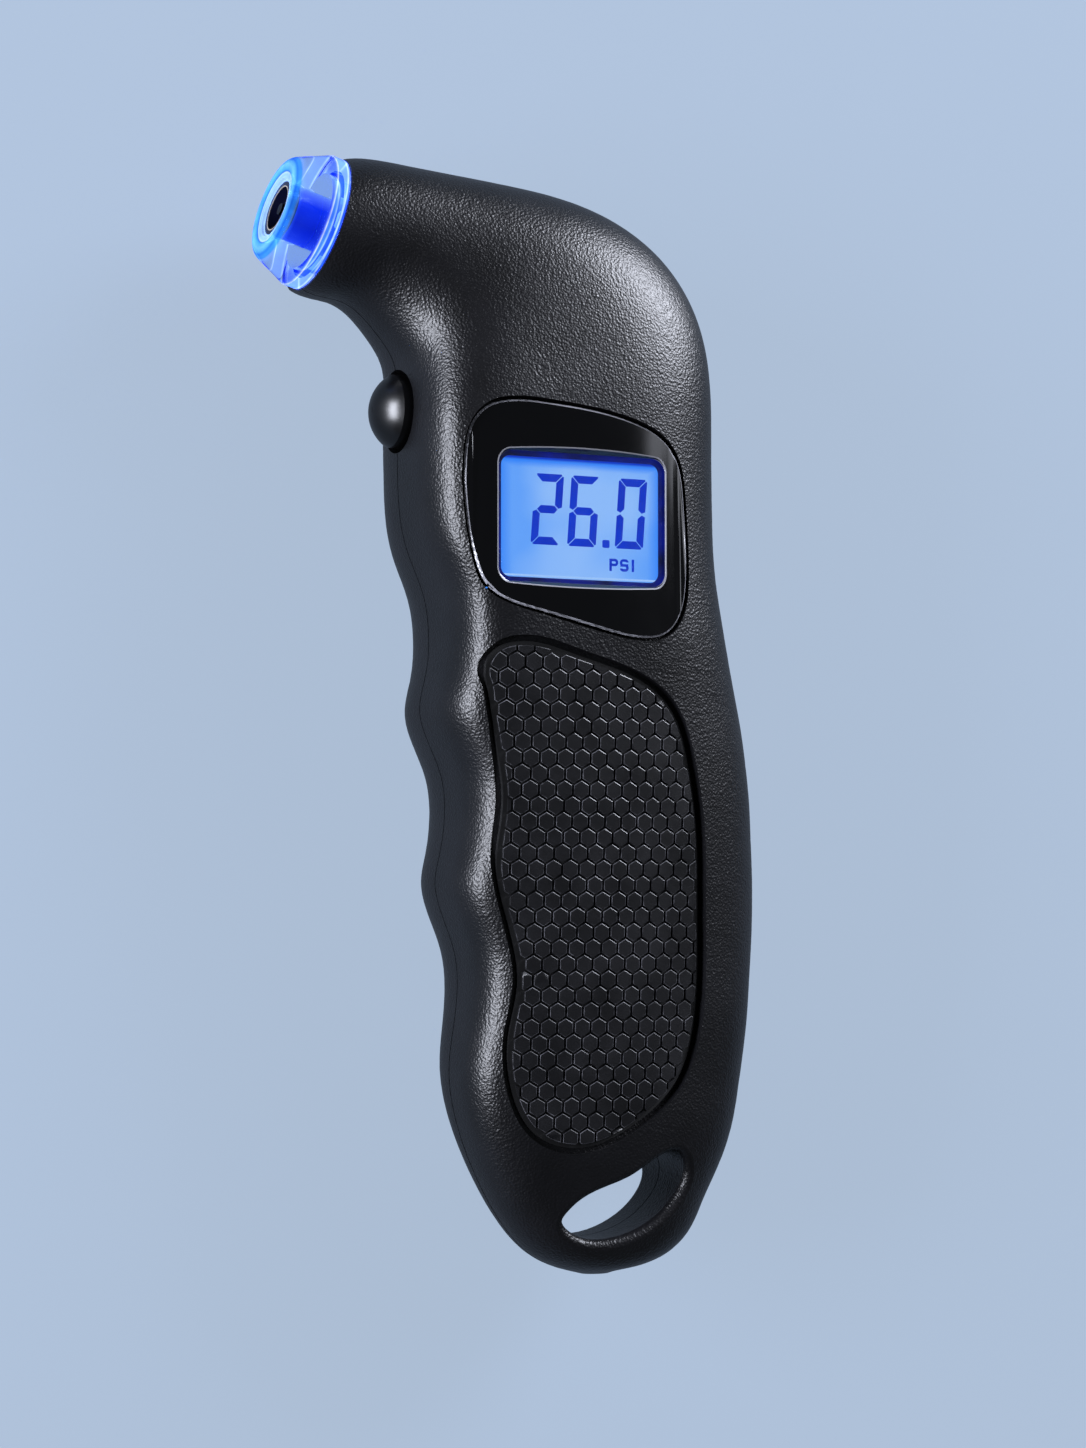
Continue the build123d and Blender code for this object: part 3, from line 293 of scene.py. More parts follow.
@dataclass(frozen=True)
class MouldedRubber:
    """Moulded rubber or epoxy: softer in its sheen than polished plastic, with a fine dusty speckle."""

    name: str
    colour: str
    dust_and_highlight_colour: str
    roughness: float
    speckle_mm: float
    relief_mm: float
    patch_mm: float = 7.0

    def material(self) -> bpy.types.Material:
        """Builds the finish: speckled colour, uneven sheen and a faint moulded texture."""
        material, tree, place = new_material(self.name)
        speckle = add_node(
            tree, "ShaderNodeTexNoise", {"Vector": place, "Scale": per_mm(self.speckle_mm), "Detail": 6.0}
        )
        patch = add_node(
            tree, "ShaderNodeTexNoise", {"Vector": place, "Scale": per_mm(self.patch_mm), "Detail": 3.0}
        )
        mixed = add_node(tree, "ShaderNodeMath", {0: speckle, 1: patch}, operation="MULTIPLY")
        # The paler colour is dust on most finishes, and a painted highlight on the stud rims
        colour = add_node(
            tree, "ShaderNodeValToRGB", {"Fac": mixed}, [(0.18, self.colour), (0.5, self.dust_and_highlight_colour)]
        )
        rough = add_node(
            tree,
            "ShaderNodeMapRange",
            {"Value": patch, "To Min": self.roughness - 0.08, "To Max": self.roughness + 0.1},
        )
        bump = add_node(
            tree, "ShaderNodeBump", {"Height": speckle, "Strength": 1.0, "Distance": self.relief_mm * MM}
        )
        shader = add_node(
            tree,
            "ShaderNodeBsdfPrincipled",
            {"Base Color": colour, "Roughness": rough, "Normal": bump},
        )
        add_node(tree, "ShaderNodeOutputMaterial", {"Surface": shader})
        return material


@dataclass(frozen=True)
class PlainMetal:
    """Turned or stamped metal, with fine tool marks across it."""

    name: str
    colour: str
    roughness: float
    mark_mm: float = 0.15

    def material(self) -> bpy.types.Material:
        """Builds the finish: a metal whose gloss is streaked by its tool marks."""
        material, tree, place = new_material(self.name)
        stretched = add_node(
            tree, "ShaderNodeMapping", {"Vector": place, "Scale": (1.0, 1.0, 0.1)}, vector_type="TEXTURE"
        )
        marks = add_node(
            tree, "ShaderNodeTexNoise", {"Vector": stretched, "Scale": per_mm(self.mark_mm), "Detail": 2.0}
        )
        rough = add_node(
            tree,
            "ShaderNodeMapRange",
            {"Value": marks, "To Min": self.roughness * 0.8, "To Max": self.roughness * 1.3},
        )
        shader = add_node(
            tree,
            "ShaderNodeBsdfPrincipled",
            {"Base Color": linear(self.colour), "Metallic": 1.0, "Roughness": rough},
        )
        add_node(tree, "ShaderNodeOutputMaterial", {"Surface": shader})
        return material


@dataclass(frozen=True)
class ClearPolycarbonate:
    """Clear moulded polycarbonate: it bends the light a little and shows its moulded flow."""

    name: str
    colour: str
    roughness: float
    flow_mm: float = 4.5
    relief_mm: float = 0.004
    refraction: float = 1.49

    def material(self) -> bpy.types.Material:
        """Builds the finish: clear plastic with a faintly wavy face."""
        material, tree, place = new_material(self.name)
        flow = add_node(
            tree, "ShaderNodeTexNoise", {"Vector": place, "Scale": per_mm(self.flow_mm), "Detail": 1.0}
        )
        bump = add_node(
            tree, "ShaderNodeBump", {"Height": flow, "Strength": 1.0, "Distance": self.relief_mm * MM}
        )
        shader = add_node(
            tree,
            "ShaderNodeBsdfPrincipled",
            {
                "Base Color": linear(self.colour),
                "Roughness": self.roughness,
                "Transmission Weight": 1.0,
                "IOR": self.refraction,
                "Normal": bump,
            },
        )
        add_node(tree, "ShaderNodeOutputMaterial", {"Surface": shader})
        return material


@dataclass(frozen=True)
class LitLens:
    """Clear polycarbonate lit from behind: pale in its cone, uneven in its band, cyan on its mouth."""

    name: str
    clear: str
    edge: str
    refraction: float
    patch_mm: float = 2.6
    spigot_mm: float = 7.17
    spigot_end_mm: float = 1.0
    roughness: float = 0.04

    def material(self) -> bpy.types.Material:
        """Builds the finish: a clear body whose light gathers in its band, its rim and its edges."""
        material, tree, place = new_material(self.name)
        along, _, radius = nozzle_place(tree, place)
        share = add_node(tree, "ShaderNodeMath", {0: along, 1: NOZZLE_LENGTH}, operation="DIVIDE")
        # Light of the body: a deep ring at the collar, the band, the line where the cone starts, the cone
        body = add_node(
            tree,
            "ShaderNodeValToRGB",
            {"Fac": share},
            [
                (0.0, "#0a2cff"), (0.05, "#0a2cff"), (0.065, "#d4e8ff"), (0.085, "#8ab4ff"),
                (0.1, "#2f66f4"), (0.26, "#4c86fa"), (0.275, "#e6f3ff"), (0.3, "#8cb4fa"),
                (0.34, "#3c66c0"), (0.84, "#3e74d0"), (0.93, "#2a7cec"),
            ],
        )
        # Colour of the mouth by its radius: a whitish step, a thin blue contour and the cyan rim
        mouth = add_node(
            tree,
            "ShaderNodeValToRGB",
            {"Fac": add_node(tree, "ShaderNodeMath", {0: radius, 1: LENS_RADIUS}, operation="DIVIDE")},
            [
                (0.405, "#3c70c8"), (0.42, "#a8c8f0"), (0.5, "#8cb8f0"), (0.535, "#b0d0f4"),
                (0.55, "#1c58d0"), (0.575, "#3c98f8"), (0.65, "#68b8ff"), (0.7, "#4ca0fc"),
                (0.735, "#1868e4"), (0.76, "#2c80f0"),
            ],
        )
        front = add_node(
            tree,
            "ShaderNodeMapRange",
            {"Value": along, "From Min": MOUTH_FACE[0], "From Max": MOUTH_FACE[1]},
        )
        colour = add_node(tree, "ShaderNodeMix", {"Factor": front, 6: body, 7: mouth}, data_type="RGBA")
        # Light that is uneven from place to place, as through thick moulded plastic
        patch = add_node(
            tree, "ShaderNodeTexNoise", {"Vector": place, "Scale": per_mm(self.patch_mm), "Detail": 2.0}
        )
        uneven = add_node(
            tree,
            "ShaderNodeMapRange",
            {"Value": patch, "From Min": 0.35, "From Max": 0.65, "To Min": 0.55, "To Max": 1.3},
        )
        # How much light each part gives: little in the cone, more in the band and on the mouth
        gain = add_node(
            tree,
            "ShaderNodeValToRGB",
            {"Fac": share},
            [
                (0.0, "#f0f0f0"), (0.1, "#d8d8d8"), (0.26, "#c8c8c8"), (0.275, "#f0f0f0"),
                (0.31, "#707070"), (0.4, "#404040"), (0.8, "#404040"), (0.88, "#a8a8a8"),
                (1.0, "#b8b8b8"),
            ],
        )
        facing = add_node(tree, "ShaderNodeLayerWeight", {"Blend": 0.3}).outputs["Facing"]
        glancing = add_node(
            tree, "ShaderNodeMapRange", {"Value": facing, "From Min": 0.55, "From Max": 0.95}
        )
        outer = add_node(tree, "ShaderNodeMath", {0: radius, 1: self.spigot_mm}, operation="GREATER_THAN")
        spigot = add_node(tree, "ShaderNodeMath", {0: along, 1: self.spigot_end_mm}, operation="LESS_THAN")
        ends = add_node(tree, "ShaderNodeMath", {0: spigot, 1: front}, operation="MAXIMUM")
        seen = add_node(tree, "ShaderNodeMath", {0: outer, 1: ends}, operation="MAXIMUM")
        level = add_node(tree, "ShaderNodeMath", {0: gain, 1: uneven}, operation="MULTIPLY")
        strength = add_node(tree, "ShaderNodeMath", {0: level, 1: seen}, operation="MULTIPLY")
        shaded = add_node(tree, "ShaderNodeMath", {0: glancing, 1: outer}, operation="MULTIPLY")
        tint = add_node(
            tree,
            "ShaderNodeMix",
            {"Factor": shaded, 6: linear(self.clear), 7: linear(self.edge)},
            data_type="RGBA",
        )
        tinted = add_node(
            tree, "ShaderNodeMix", {"Factor": front, 6: tint.outputs[2], 7: mouth}, data_type="RGBA"
        )
        through = add_node(tree, "ShaderNodeMapRange", {"Value": front, "To Min": 1.0, "To Max": 0.75})
        shader = add_node(
            tree,
            "ShaderNodeBsdfPrincipled",
            {
                "Base Color": tinted.outputs[2],
                "Roughness": self.roughness,
                "Transmission Weight": through,
                "IOR": self.refraction,
                "Emission Color": colour.outputs[2],
                "Emission Strength": strength,
            },
        )
        add_node(tree, "ShaderNodeOutputMaterial", {"Surface": shader})
        return material


@dataclass(frozen=True)
class LitCore:
    """Blue acetal tube lit from its side: lavender above, royal blue below, unlit in its bore."""

    name: str
    upper: str
    middle: str
    lower: str
    bore: str
    bore_mm: float
    tube_mm: float
    strength: float
    patch_mm: float = 3.0
    drift_mm: float = 0.2

    def material(self) -> bpy.types.Material:
        """Builds the finish: light that turns from pale to deep down the tube and its flange."""
        material, tree, place = new_material(self.name)
        _, low, radius = nozzle_place(tree, place)
        patch = add_node(
            tree, "ShaderNodeTexNoise", {"Vector": place, "Scale": per_mm(self.patch_mm), "Detail": 2.0}
        )
        drift = add_node(
            tree, "ShaderNodeMapRange", {"Value": patch, "To Min": -self.drift_mm, "To Max": self.drift_mm}
        )
        reach = add_node(tree, "ShaderNodeMath", {0: low, 1: drift}, operation="ADD")
        down = add_node(
            tree,
            "ShaderNodeMapRange",
            {"Value": reach, "From Min": -self.tube_mm, "From Max": self.tube_mm},
        )
        colour = add_node(
            tree,
            "ShaderNodeValToRGB",
            {"Fac": down},
            [(0.05, self.upper), (0.42, self.middle), (0.72, self.lower), (1.0, self.middle)],
        )
        outside = add_node(tree, "ShaderNodeMath", {0: radius, 1: self.bore_mm}, operation="GREATER_THAN")
        seen = add_node(
            tree,
            "ShaderNodeMix",
            {"Factor": outside, 6: linear(self.bore), 7: colour},
            data_type="RGBA",
        )
        glow = add_node(tree, "ShaderNodeMath", {0: outside, 1: self.strength}, operation="MULTIPLY")
        shader = add_node(
            tree,
            "ShaderNodeBsdfPrincipled",
            {
                "Base Color": linear(self.bore),
                "Roughness": 0.35,
                "Emission Color": seen.outputs[2],
                "Emission Strength": glow,
            },
        )
        add_node(tree, "ShaderNodeOutputMaterial", {"Surface": shader})
        return material


@dataclass(frozen=True)
class SealRubber:
    """Nitrile rubber ring in the mouth: black, with a painted grey highlight on its inner lip."""

    name: str
    colour: str
    lip_highlight_colour: str
    lip_mm: float
    face_mm: float
    roughness: float
    highlight_jitter_size_mm: float = 0.6
    highlight_jitter_mm: float = 0.08

    def material(self) -> bpy.types.Material:
        """Builds the finish: black rubber with a painted grey highlight on its lip, towards the hole."""
        material, tree, place = new_material(self.name)
        along, _, radius = nozzle_place(tree, place)
        # Noise that roughens the edge of the painted highlight on the lip
        highlight_jitter = add_node(
            tree, "ShaderNodeTexNoise", {"Vector": place, "Scale": per_mm(self.highlight_jitter_size_mm), "Detail": 4.0}
        )
        jitter_offset = add_node(
            tree, "ShaderNodeMapRange", {"Value": highlight_jitter, "To Min": -self.highlight_jitter_mm, "To Max": self.highlight_jitter_mm}
        )
        reach = add_node(tree, "ShaderNodeMath", {0: radius, 1: jitter_offset}, operation="ADD")
        lip = add_node(tree, "ShaderNodeMath", {0: reach, 1: self.lip_mm}, operation="LESS_THAN")
        face = add_node(tree, "ShaderNodeMath", {0: along, 1: self.face_mm}, operation="GREATER_THAN")
        lip_highlight = add_node(tree, "ShaderNodeMath", {0: lip, 1: face}, operation="MULTIPLY")
        colour = add_node(
            tree,
            "ShaderNodeMix",
            {"Factor": lip_highlight, 6: linear(self.colour), 7: linear(self.lip_highlight_colour)},
            data_type="RGBA",
        )
        shader = add_node(
            tree,
            "ShaderNodeBsdfPrincipled",
            {"Base Color": colour.outputs[2], "Roughness": self.roughness},
        )
        add_node(tree, "ShaderNodeOutputMaterial", {"Surface": shader})
        return material


@dataclass(frozen=True)
class LitPlastic:
    """Plastic lit from inside, and the display's mask glowing as a painted reflection of the backlight: its
    colour is mostly its own light, a little uneven over its face.
    """

    name: str
    dark: str
    bright: str
    strength: float
    patch_mm: float = 4.0

    def material(self) -> bpy.types.Material:
        """Builds the finish: uneven light under a satin surface."""
        material, tree, place = new_material(self.name)
        patch = add_node(
            tree, "ShaderNodeTexNoise", {"Vector": place, "Scale": per_mm(self.patch_mm), "Detail": 2.0}
        )
        colour = add_node(
            tree, "ShaderNodeValToRGB", {"Fac": patch}, [(0.35, self.dark), (0.65, self.bright)]
        )
        shader = add_node(
            tree,
            "ShaderNodeBsdfPrincipled",
            {
                "Base Color": linear("#01020a"),
                "Roughness": 0.3,
                "Emission Color": colour,
                "Emission Strength": self.strength,
            },
        )
        add_node(tree, "ShaderNodeOutputMaterial", {"Surface": shader})
        return material


@dataclass(frozen=True)
class BacklitCrystal:
    """Liquid crystal glass over a blue lamp: palest near its middle, deeper along its edges."""

    name: str
    pale: str
    middle: str
    edge: str
    top: str
    border: str
    patch_mm: float = 8.0
    palest_side: float = 0.2

    def material(self) -> bpy.types.Material:
        """Builds the finish: light that falls off towards the edges of the lit area."""
        material, tree, place = new_material(self.name)
        centred = add_node(
            tree,
            "ShaderNodeMapping",
            {
                "Vector": place,
                "Location": (DISPLAY_CENTRE[0] * MM, DISPLAY_CENTRE[1] * MM, 0.0),
                "Scale": (LIT_SIZE[0] / 2 * MM, LIT_SIZE[1] / 2 * MM, 1.0),
            },
            vector_type="TEXTURE",
        )
        apart = add_node(tree, "ShaderNodeSeparateXYZ", {"Vector": centred})
        side, height = apart.outputs["X"], apart.outputs["Y"]
        patch = add_node(
            tree, "ShaderNodeTexNoise", {"Vector": place, "Scale": per_mm(self.patch_mm), "Detail": 1.0}
        )
        off_side = add_node(tree, "ShaderNodeMath", {0: side, 1: self.palest_side}, operation="SUBTRACT")
        away = add_node(tree, "ShaderNodeMath", {0: off_side, 1: off_side}, operation="MULTIPLY")
        spread = add_node(tree, "ShaderNodeMath", {0: away, 1: 0.55, 2: patch}, operation="MULTIPLY_ADD")
        colour = add_node(
            tree, "ShaderNodeValToRGB", {"Fac": spread}, [(0.45, self.pale), (1.0, self.middle)]
        )
        far_side = add_node(tree, "ShaderNodeMath", {0: side}, operation="ABSOLUTE")
        near_edge = add_node(
            tree,
            "ShaderNodeMapRange",
            {"Value": far_side, "From Min": 0.86, "From Max": 1.0, "To Max": 0.8},
        )
        near_top = add_node(
            tree,
            "ShaderNodeMapRange",
            {"Value": height, "From Min": 0.82, "From Max": 0.93, "To Max": 0.9},
        )
        rim = add_node(tree, "ShaderNodeMath", {0: near_edge, 1: near_top}, operation="MAXIMUM")
        edged = add_node(
            tree, "ShaderNodeMix", {"Factor": rim, 6: colour, 7: linear(self.edge)}, data_type="RGBA"
        )
        last = add_node(tree, "ShaderNodeMapRange", {"Value": height, "From Min": 0.94, "From Max": 0.98})
        topped = add_node(
            tree,
            "ShaderNodeMix",
            {"Factor": last, 6: edged.outputs[2], 7: linear(self.top)},
            data_type="RGBA",
        )
        low = add_node(tree, "ShaderNodeMath", {0: height, 1: -0.965, 2: 0.015}, operation="COMPARE")
        lined = add_node(
            tree,
            "ShaderNodeMix",
            {"Factor": low, 6: topped.outputs[2], 7: linear(self.border)},
            data_type="RGBA",
        )
        shader = add_node(
            tree,
            "ShaderNodeBsdfPrincipled",
            {
                "Base Color": linear("#02040c"),
                "Roughness": 0.12,
                "Emission Color": lined.outputs[2],
                "Emission Strength": 1.0,
            },
        )
        add_node(tree, "ShaderNodeOutputMaterial", {"Surface": shader})
        return material


class Finish(Enum):
    """The finishes of the gauge's pieces."""

    # ABS from a spark-eroded mould: nearly black, with a fine grain that only its highlights show
    CASING = GrainedAbs("moulded_abs_casing", "#08080a", "#0d0d10", 0.36, 0.32, 0.06, 0.09)
    # Thermoplastic rubber: satin black in the gaps, dusty charcoal on the studs, a painted grey highlight
    # on their rims
    PAD = MouldedRubber("moulded_rubber_pad", "#030304", "#070708", 0.5, 0.2, 0.01)
    STUDS = MouldedRubber("moulded_rubber_studs", "#08080a", "#17171a", 0.34, 0.16, 0.035)
    # Painted highlight: pale grey on the studs' sloped rims, broken up by speckle
    STUD_RIM_HIGHLIGHT = MouldedRubber("rubber_rim_painted_highlight", "#18181b", "#6c6c72", 0.32, 0.6, 0.006, 3.0)
    # Polished black ABS: it mirrors the lamps, and its chamfers carry silver lines of painted highlight
    GLOSS = GlossPlastic("polished_black_frame", "#030304", 0.1)
    # Silver grey on the frame's chamfers and rounded lip: a painted highlight
    FRAME_EDGE_HIGHLIGHT = GlossPlastic("frame_edge_painted_highlight", "#86868c", 0.2)
    BUTTON = GlossPlastic("polished_black_button", "#030304", 0.27, 9.0, 0.003)
    # Clear polycarbonate, plain over the display and lit in the nozzle
    WINDOW = ClearPolycarbonate("clear_window", "#f6faff", 0.01)
    LENS = LitLens("clear_lit_lens", "#b4d0ff", "#2450f0", 1.05)
    CORE = LitCore("lit_royal_blue_core", "#8ca6ff", "#0a34ec", "#0420c4", "#02030c", 3.3, 4.4, 1.0)
    LAMP = LitPlastic("blue_lamp", "#5a8cff", "#a8ccff", 1.2)
    # Liquid crystal glass over a blue backlight, its characters and its printed border, whose navy glow is
    # a painted reflection of the backlight
    LCD = BacklitCrystal("backlit_blue_glass", "#94c2ff", "#68a8ff", "#2c86ff", "#0c3cc8", "#a4ccff")
    INK = LitPlastic("royal_blue_characters", "#0034d0", "#003cdc", 0.85)
    FRINGE = LitPlastic("pale_character_fringe", "#a4d0ff", "#b4daff", 1.0)
    # The mask's navy glow is a painted reflection of the backlight on its glossy black
    MASK_PAINTED_REFLECTION = LitPlastic("glass_mask_painted_reflection", "#020a3c", "#06188c", 0.8)
    # Nitrile rubber, black and slightly shiny
    # The seal's black is tinted navy as painted blue light from the lit nozzle, and its inner lip carries a
    # painted grey highlight
    SEAL = SealRubber("nitrile_mouth_seal", "#080b22", "#948c80", 3.15, 6.22, 0.3)
    RUBBER = MouldedRubber("nitrile_rubber", "#0c0d14", "#16181f", 0.35, 0.3, 0.006)
    # Frosted acrylic, white and green plastics, epoxy and plain metals inside the casing
    GUIDE = GlossPlastic("frosted_acrylic", "#e6edf8", 0.35)
    WHITE = GlossPlastic("white_moulding", "#dcdcd6", 0.4)
    BOARD = GlossPlastic("green_solder_mask", "#0d4a24", 0.3)
    CHIP = MouldedRubber("moulded_epoxy", "#121214", "#1c1c1e", 0.6, 0.1, 0.004)
    STEEL = PlainMetal("plain_steel", "#b9bbbd", 0.32)
    BLACK_STEEL = PlainMetal("black_oxide_steel", "#2a2a2c", 0.4)
    RED_WIRE = GlossPlastic("red_wire_jacket", "#a81818", 0.35)
    BLACK_WIRE = GlossPlastic("black_wire_jacket", "#141414", 0.35)


@dataclass
class Wardrobe:
    """Makes each finish once and puts it on the pieces."""

    made: dict[Finish, bpy.types.Material]

    def get(self, finish: Finish) -> bpy.types.Material:
        """Returns a finish's material, made the first time it is asked for."""
        if finish not in self.made:
            self.made[finish] = finish.value.material()
        return self.made[finish]

    def dress(self, piece: bpy.types.Object, finish: Finish) -> None:
        """Puts a finish on every slot of a piece.

        Args:
            piece: The mesh object.
            finish: The finish that it gets.
        """
        if not piece.material_slots:
            piece.data.materials.append(self.get(finish))
        for material_slot in piece.material_slots:
            material_slot.material = self.get(finish)
        LOG.info("%s: %s", piece.name, self.get(finish).name)


def deselect_all() -> None:
    """Leaves object mode with nothing selected."""
    if bpy.context.object and bpy.context.object.mode != "OBJECT":
        bpy.ops.object.mode_set(mode="OBJECT")
    bpy.ops.object.select_all(action="DESELECT")


def make_active(piece: bpy.types.Object) -> None:
    """Selects one object alone and makes it active."""
    deselect_all()
    piece.select_set(True)
    bpy.context.view_layer.objects.active = piece


def merged_copy(node: bpy.types.Object, name: str) -> bpy.types.Object:
    """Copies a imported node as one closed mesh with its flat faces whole.

    Args:
        node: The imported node's object.
        name: The new piece's name.

    Returns:
        The copy, at the origin, riding on nothing yet.
    """
    piece = node.copy()
    piece.data = node.data.copy()
    piece.name = name
    piece.parent = None
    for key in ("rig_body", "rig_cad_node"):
        if key in piece:
            del piece[key]
    bpy.context.scene.collection.objects.link(piece)
    piece.matrix_world = Matrix.Identity(4)
    make_active(piece)
    bpy.ops.object.mode_set(mode="EDIT")
    bpy.ops.mesh.select_all(action="SELECT")
    bpy.ops.mesh.remove_doubles(threshold=MERGE_MM * MM)
    bpy.ops.mesh.dissolve_limited(angle_limit=math.radians(FLAT_DEGREES))
    bpy.ops.object.mode_set(mode="OBJECT")
    return piece


@dataclass
class Casing:
    """The two halves of the casing, the battery door and the screws that hold them."""

    wardrobe: Wardrobe
    screws: int = 5

    def build(self, nodes: dict[str, bpy.types.Object]) -> None:
        """Dresses the casing's nodes.

        Args:
            nodes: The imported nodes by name.
        """
        for name in ("front_housing", "rear_housing", "battery_door"):
            self.wardrobe.dress(nodes[name], Finish.CASING)
        for number in range(1, self.screws + 1):
            self.wardrobe.dress(nodes[f"housing_screw_{number}"], Finish.BLACK_STEEL)
        self.wardrobe.dress(nodes["door_screw"], Finish.BLACK_STEEL)


@dataclass
class GripPad:
    """The rubber pad and its rows of studs, whose rims are sloped as a mould leaves them and painted pale
    as a highlight.
    """

    wardrobe: Wardrobe
    rim_mm: float = 0.075
    slope_mm: float = 0.035
    least_mm2: float = 1.0
    upward: float = 0.8
    smooth_degrees: float = 15.0

    def build(self, nodes: dict[str, bpy.types.Object]) -> None:
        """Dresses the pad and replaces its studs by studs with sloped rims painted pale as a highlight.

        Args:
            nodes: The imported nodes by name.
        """
        self.wardrobe.dress(nodes["front_grip_pad"], Finish.PAD)
        studs = merged_copy(nodes["grip_studs"], "rounded_grip_studs")
        self.wardrobe.dress(studs, Finish.STUDS)
        # The second slot, for the rim faces, holds the painted highlight
        studs.data.materials.append(self.wardrobe.get(Finish.STUD_RIM_HIGHLIGHT))
        make_active(studs)
        bpy.ops.object.mode_set(mode="EDIT")
        bpy.context.tool_settings.mesh_select_mode = (False, False, True)
        bpy.ops.mesh.select_all(action="DESELECT")
        bpy.ops.object.mode_set(mode="OBJECT")
        for face in studs.data.polygons:
            face.select = face.normal.z > self.upward and face.area > self.least_mm2 * MM * MM
            face.material_index = int(face.select)
        bpy.ops.object.mode_set(mode="EDIT")
        bpy.ops.transform.translate(value=(0, 0, -self.slope_mm * MM))
        bpy.ops.mesh.inset(thickness=self.rim_mm * MM, depth=self.slope_mm * MM)
        studs.active_material_index = 0
        bpy.ops.object.material_slot_assign()
        bpy.ops.object.mode_set(mode="OBJECT")
        bpy.ops.object.shade_smooth_by_angle(angle=math.radians(self.smooth_degrees))
        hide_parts("grip_studs")
        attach(studs, "gauge")


@dataclass
class Display:
    """The gloss frame, the window and the backlit glass with its characters."""

    wardrobe: Wardrobe
    lip_mm: float = 0.12
    lip_height_mm: float = 27.4
    reach_mm: float = 0.3
    fringe_mm: float = 0.09
    fringe_drop_mm: float = 0.02
    chamfer_upward: tuple[float, float] = (0.4, 0.9)
    sharp_degrees: float = 25.0
    smooth_degrees: float = 12.0

    def bezel(self, node: bpy.types.Object) -> None:
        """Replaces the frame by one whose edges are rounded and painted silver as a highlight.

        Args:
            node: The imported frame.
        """
        bezel = merged_copy(node, "rounded_display_bezel")
        self.wardrobe.dress(bezel, Finish.GLOSS)
        # Slot two holds the painted silver highlight, for the chamfers and the rounded lip
        bezel.data.materials.append(self.wardrobe.get(Finish.FRAME_EDGE_HIGHLIGHT))
        least, most = self.chamfer_upward
        for face in bezel.data.polygons:
            if not self.over_opening(face.center, self.reach_mm) and least < face.normal.z < most:
                face.material_index = 1
        make_active(bezel)
        bpy.ops.object.mode_set(mode="EDIT")
        bpy.context.tool_settings.mesh_select_mode = (False, True, False)
        bpy.ops.mesh.select_all(action="DESELECT")
        bpy.ops.mesh.edges_select_sharp(sharpness=math.radians(self.sharp_degrees))
        bpy.ops.object.mode_set(mode="OBJECT")
        points = bezel.data.vertices
        for edge in bezel.data.edges:
            middle = (points[edge.vertices[0]].co + points[edge.vertices[1]].co) / 2
            on_top = middle.z > self.lip_height_mm * MM
            edge.select = edge.select and on_top and self.over_opening(middle, self.reach_mm)
        bpy.ops.object.mode_set(mode="EDIT")
        bpy.ops.mesh.bevel(offset=self.lip_mm * MM, segments=2, affect="EDGES", material=1)
        bpy.ops.object.mode_set(mode="OBJECT")
        bpy.ops.object.shade_smooth_by_angle(angle=math.radians(self.smooth_degrees))
        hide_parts("display_bezel")
        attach(bezel, "gauge")

    def over_opening(self, point: Vector, reach_mm: float) -> bool:
        """Tells whether a point lies over the frame's opening, or this far outside it."""
        across = abs(point.x / MM - DISPLAY_CENTRE[0]) < OPENING_SIZE[0] / 2 + reach_mm
        return across and abs(point.y / MM - DISPLAY_CENTRE[1]) < OPENING_SIZE[1] / 2 + reach_mm

    def fringe(self, node: bpy.types.Object) -> None:
        """Adds the pale fringe that the backlight leaves round each character.

        Args:
            node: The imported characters.
        """
        fringe = merged_copy(node, "character_fringe")
        bpy.ops.object.mode_set(mode="EDIT")
        bpy.ops.mesh.select_all(action="SELECT")
        bpy.ops.transform.shrink_fatten(value=-self.fringe_mm * MM, use_even_offset=True)
        bpy.ops.transform.translate(value=(0, 0, -(self.fringe_mm + self.fringe_drop_mm) * MM))
        bpy.ops.object.mode_set(mode="OBJECT")
        self.wardrobe.dress(fringe, Finish.FRINGE)
        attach(fringe, "gauge")

    def build(self, nodes: dict[str, bpy.types.Object]) -> None:
        """Dresses the display's nodes.

        Args:
            nodes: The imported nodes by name.
        """
        self.bezel(nodes["display_bezel"])
        self.fringe(nodes["lcd_segments"])
        finishes = {
            "display_window": Finish.WINDOW,
            "lcd_glass": Finish.LCD,
            "lcd_mask": Finish.MASK_PAINTED_REFLECTION,
            "lcd_segments": Finish.INK,
            "light_guide": Finish.GUIDE,
            "backlight_led": Finish.LAMP,
            "connector_strip": Finish.RUBBER,
        }
        for name, finish in finishes.items():
            self.wardrobe.dress(nodes[name], finish)


@dataclass
class PowerButton:
    """The push button, its plunger and the switch behind it."""

    wardrobe: Wardrobe

    def build(self, nodes: dict[str, bpy.types.Object]) -> None:
        """Dresses the button and its switch."""
        self.wardrobe.dress(nodes["power_button"], Finish.BUTTON)
        self.wardrobe.dress(nodes["switch_plunger"], Finish.WHITE)
        self.wardrobe.dress(nodes["switch_body"], Finish.STEEL)


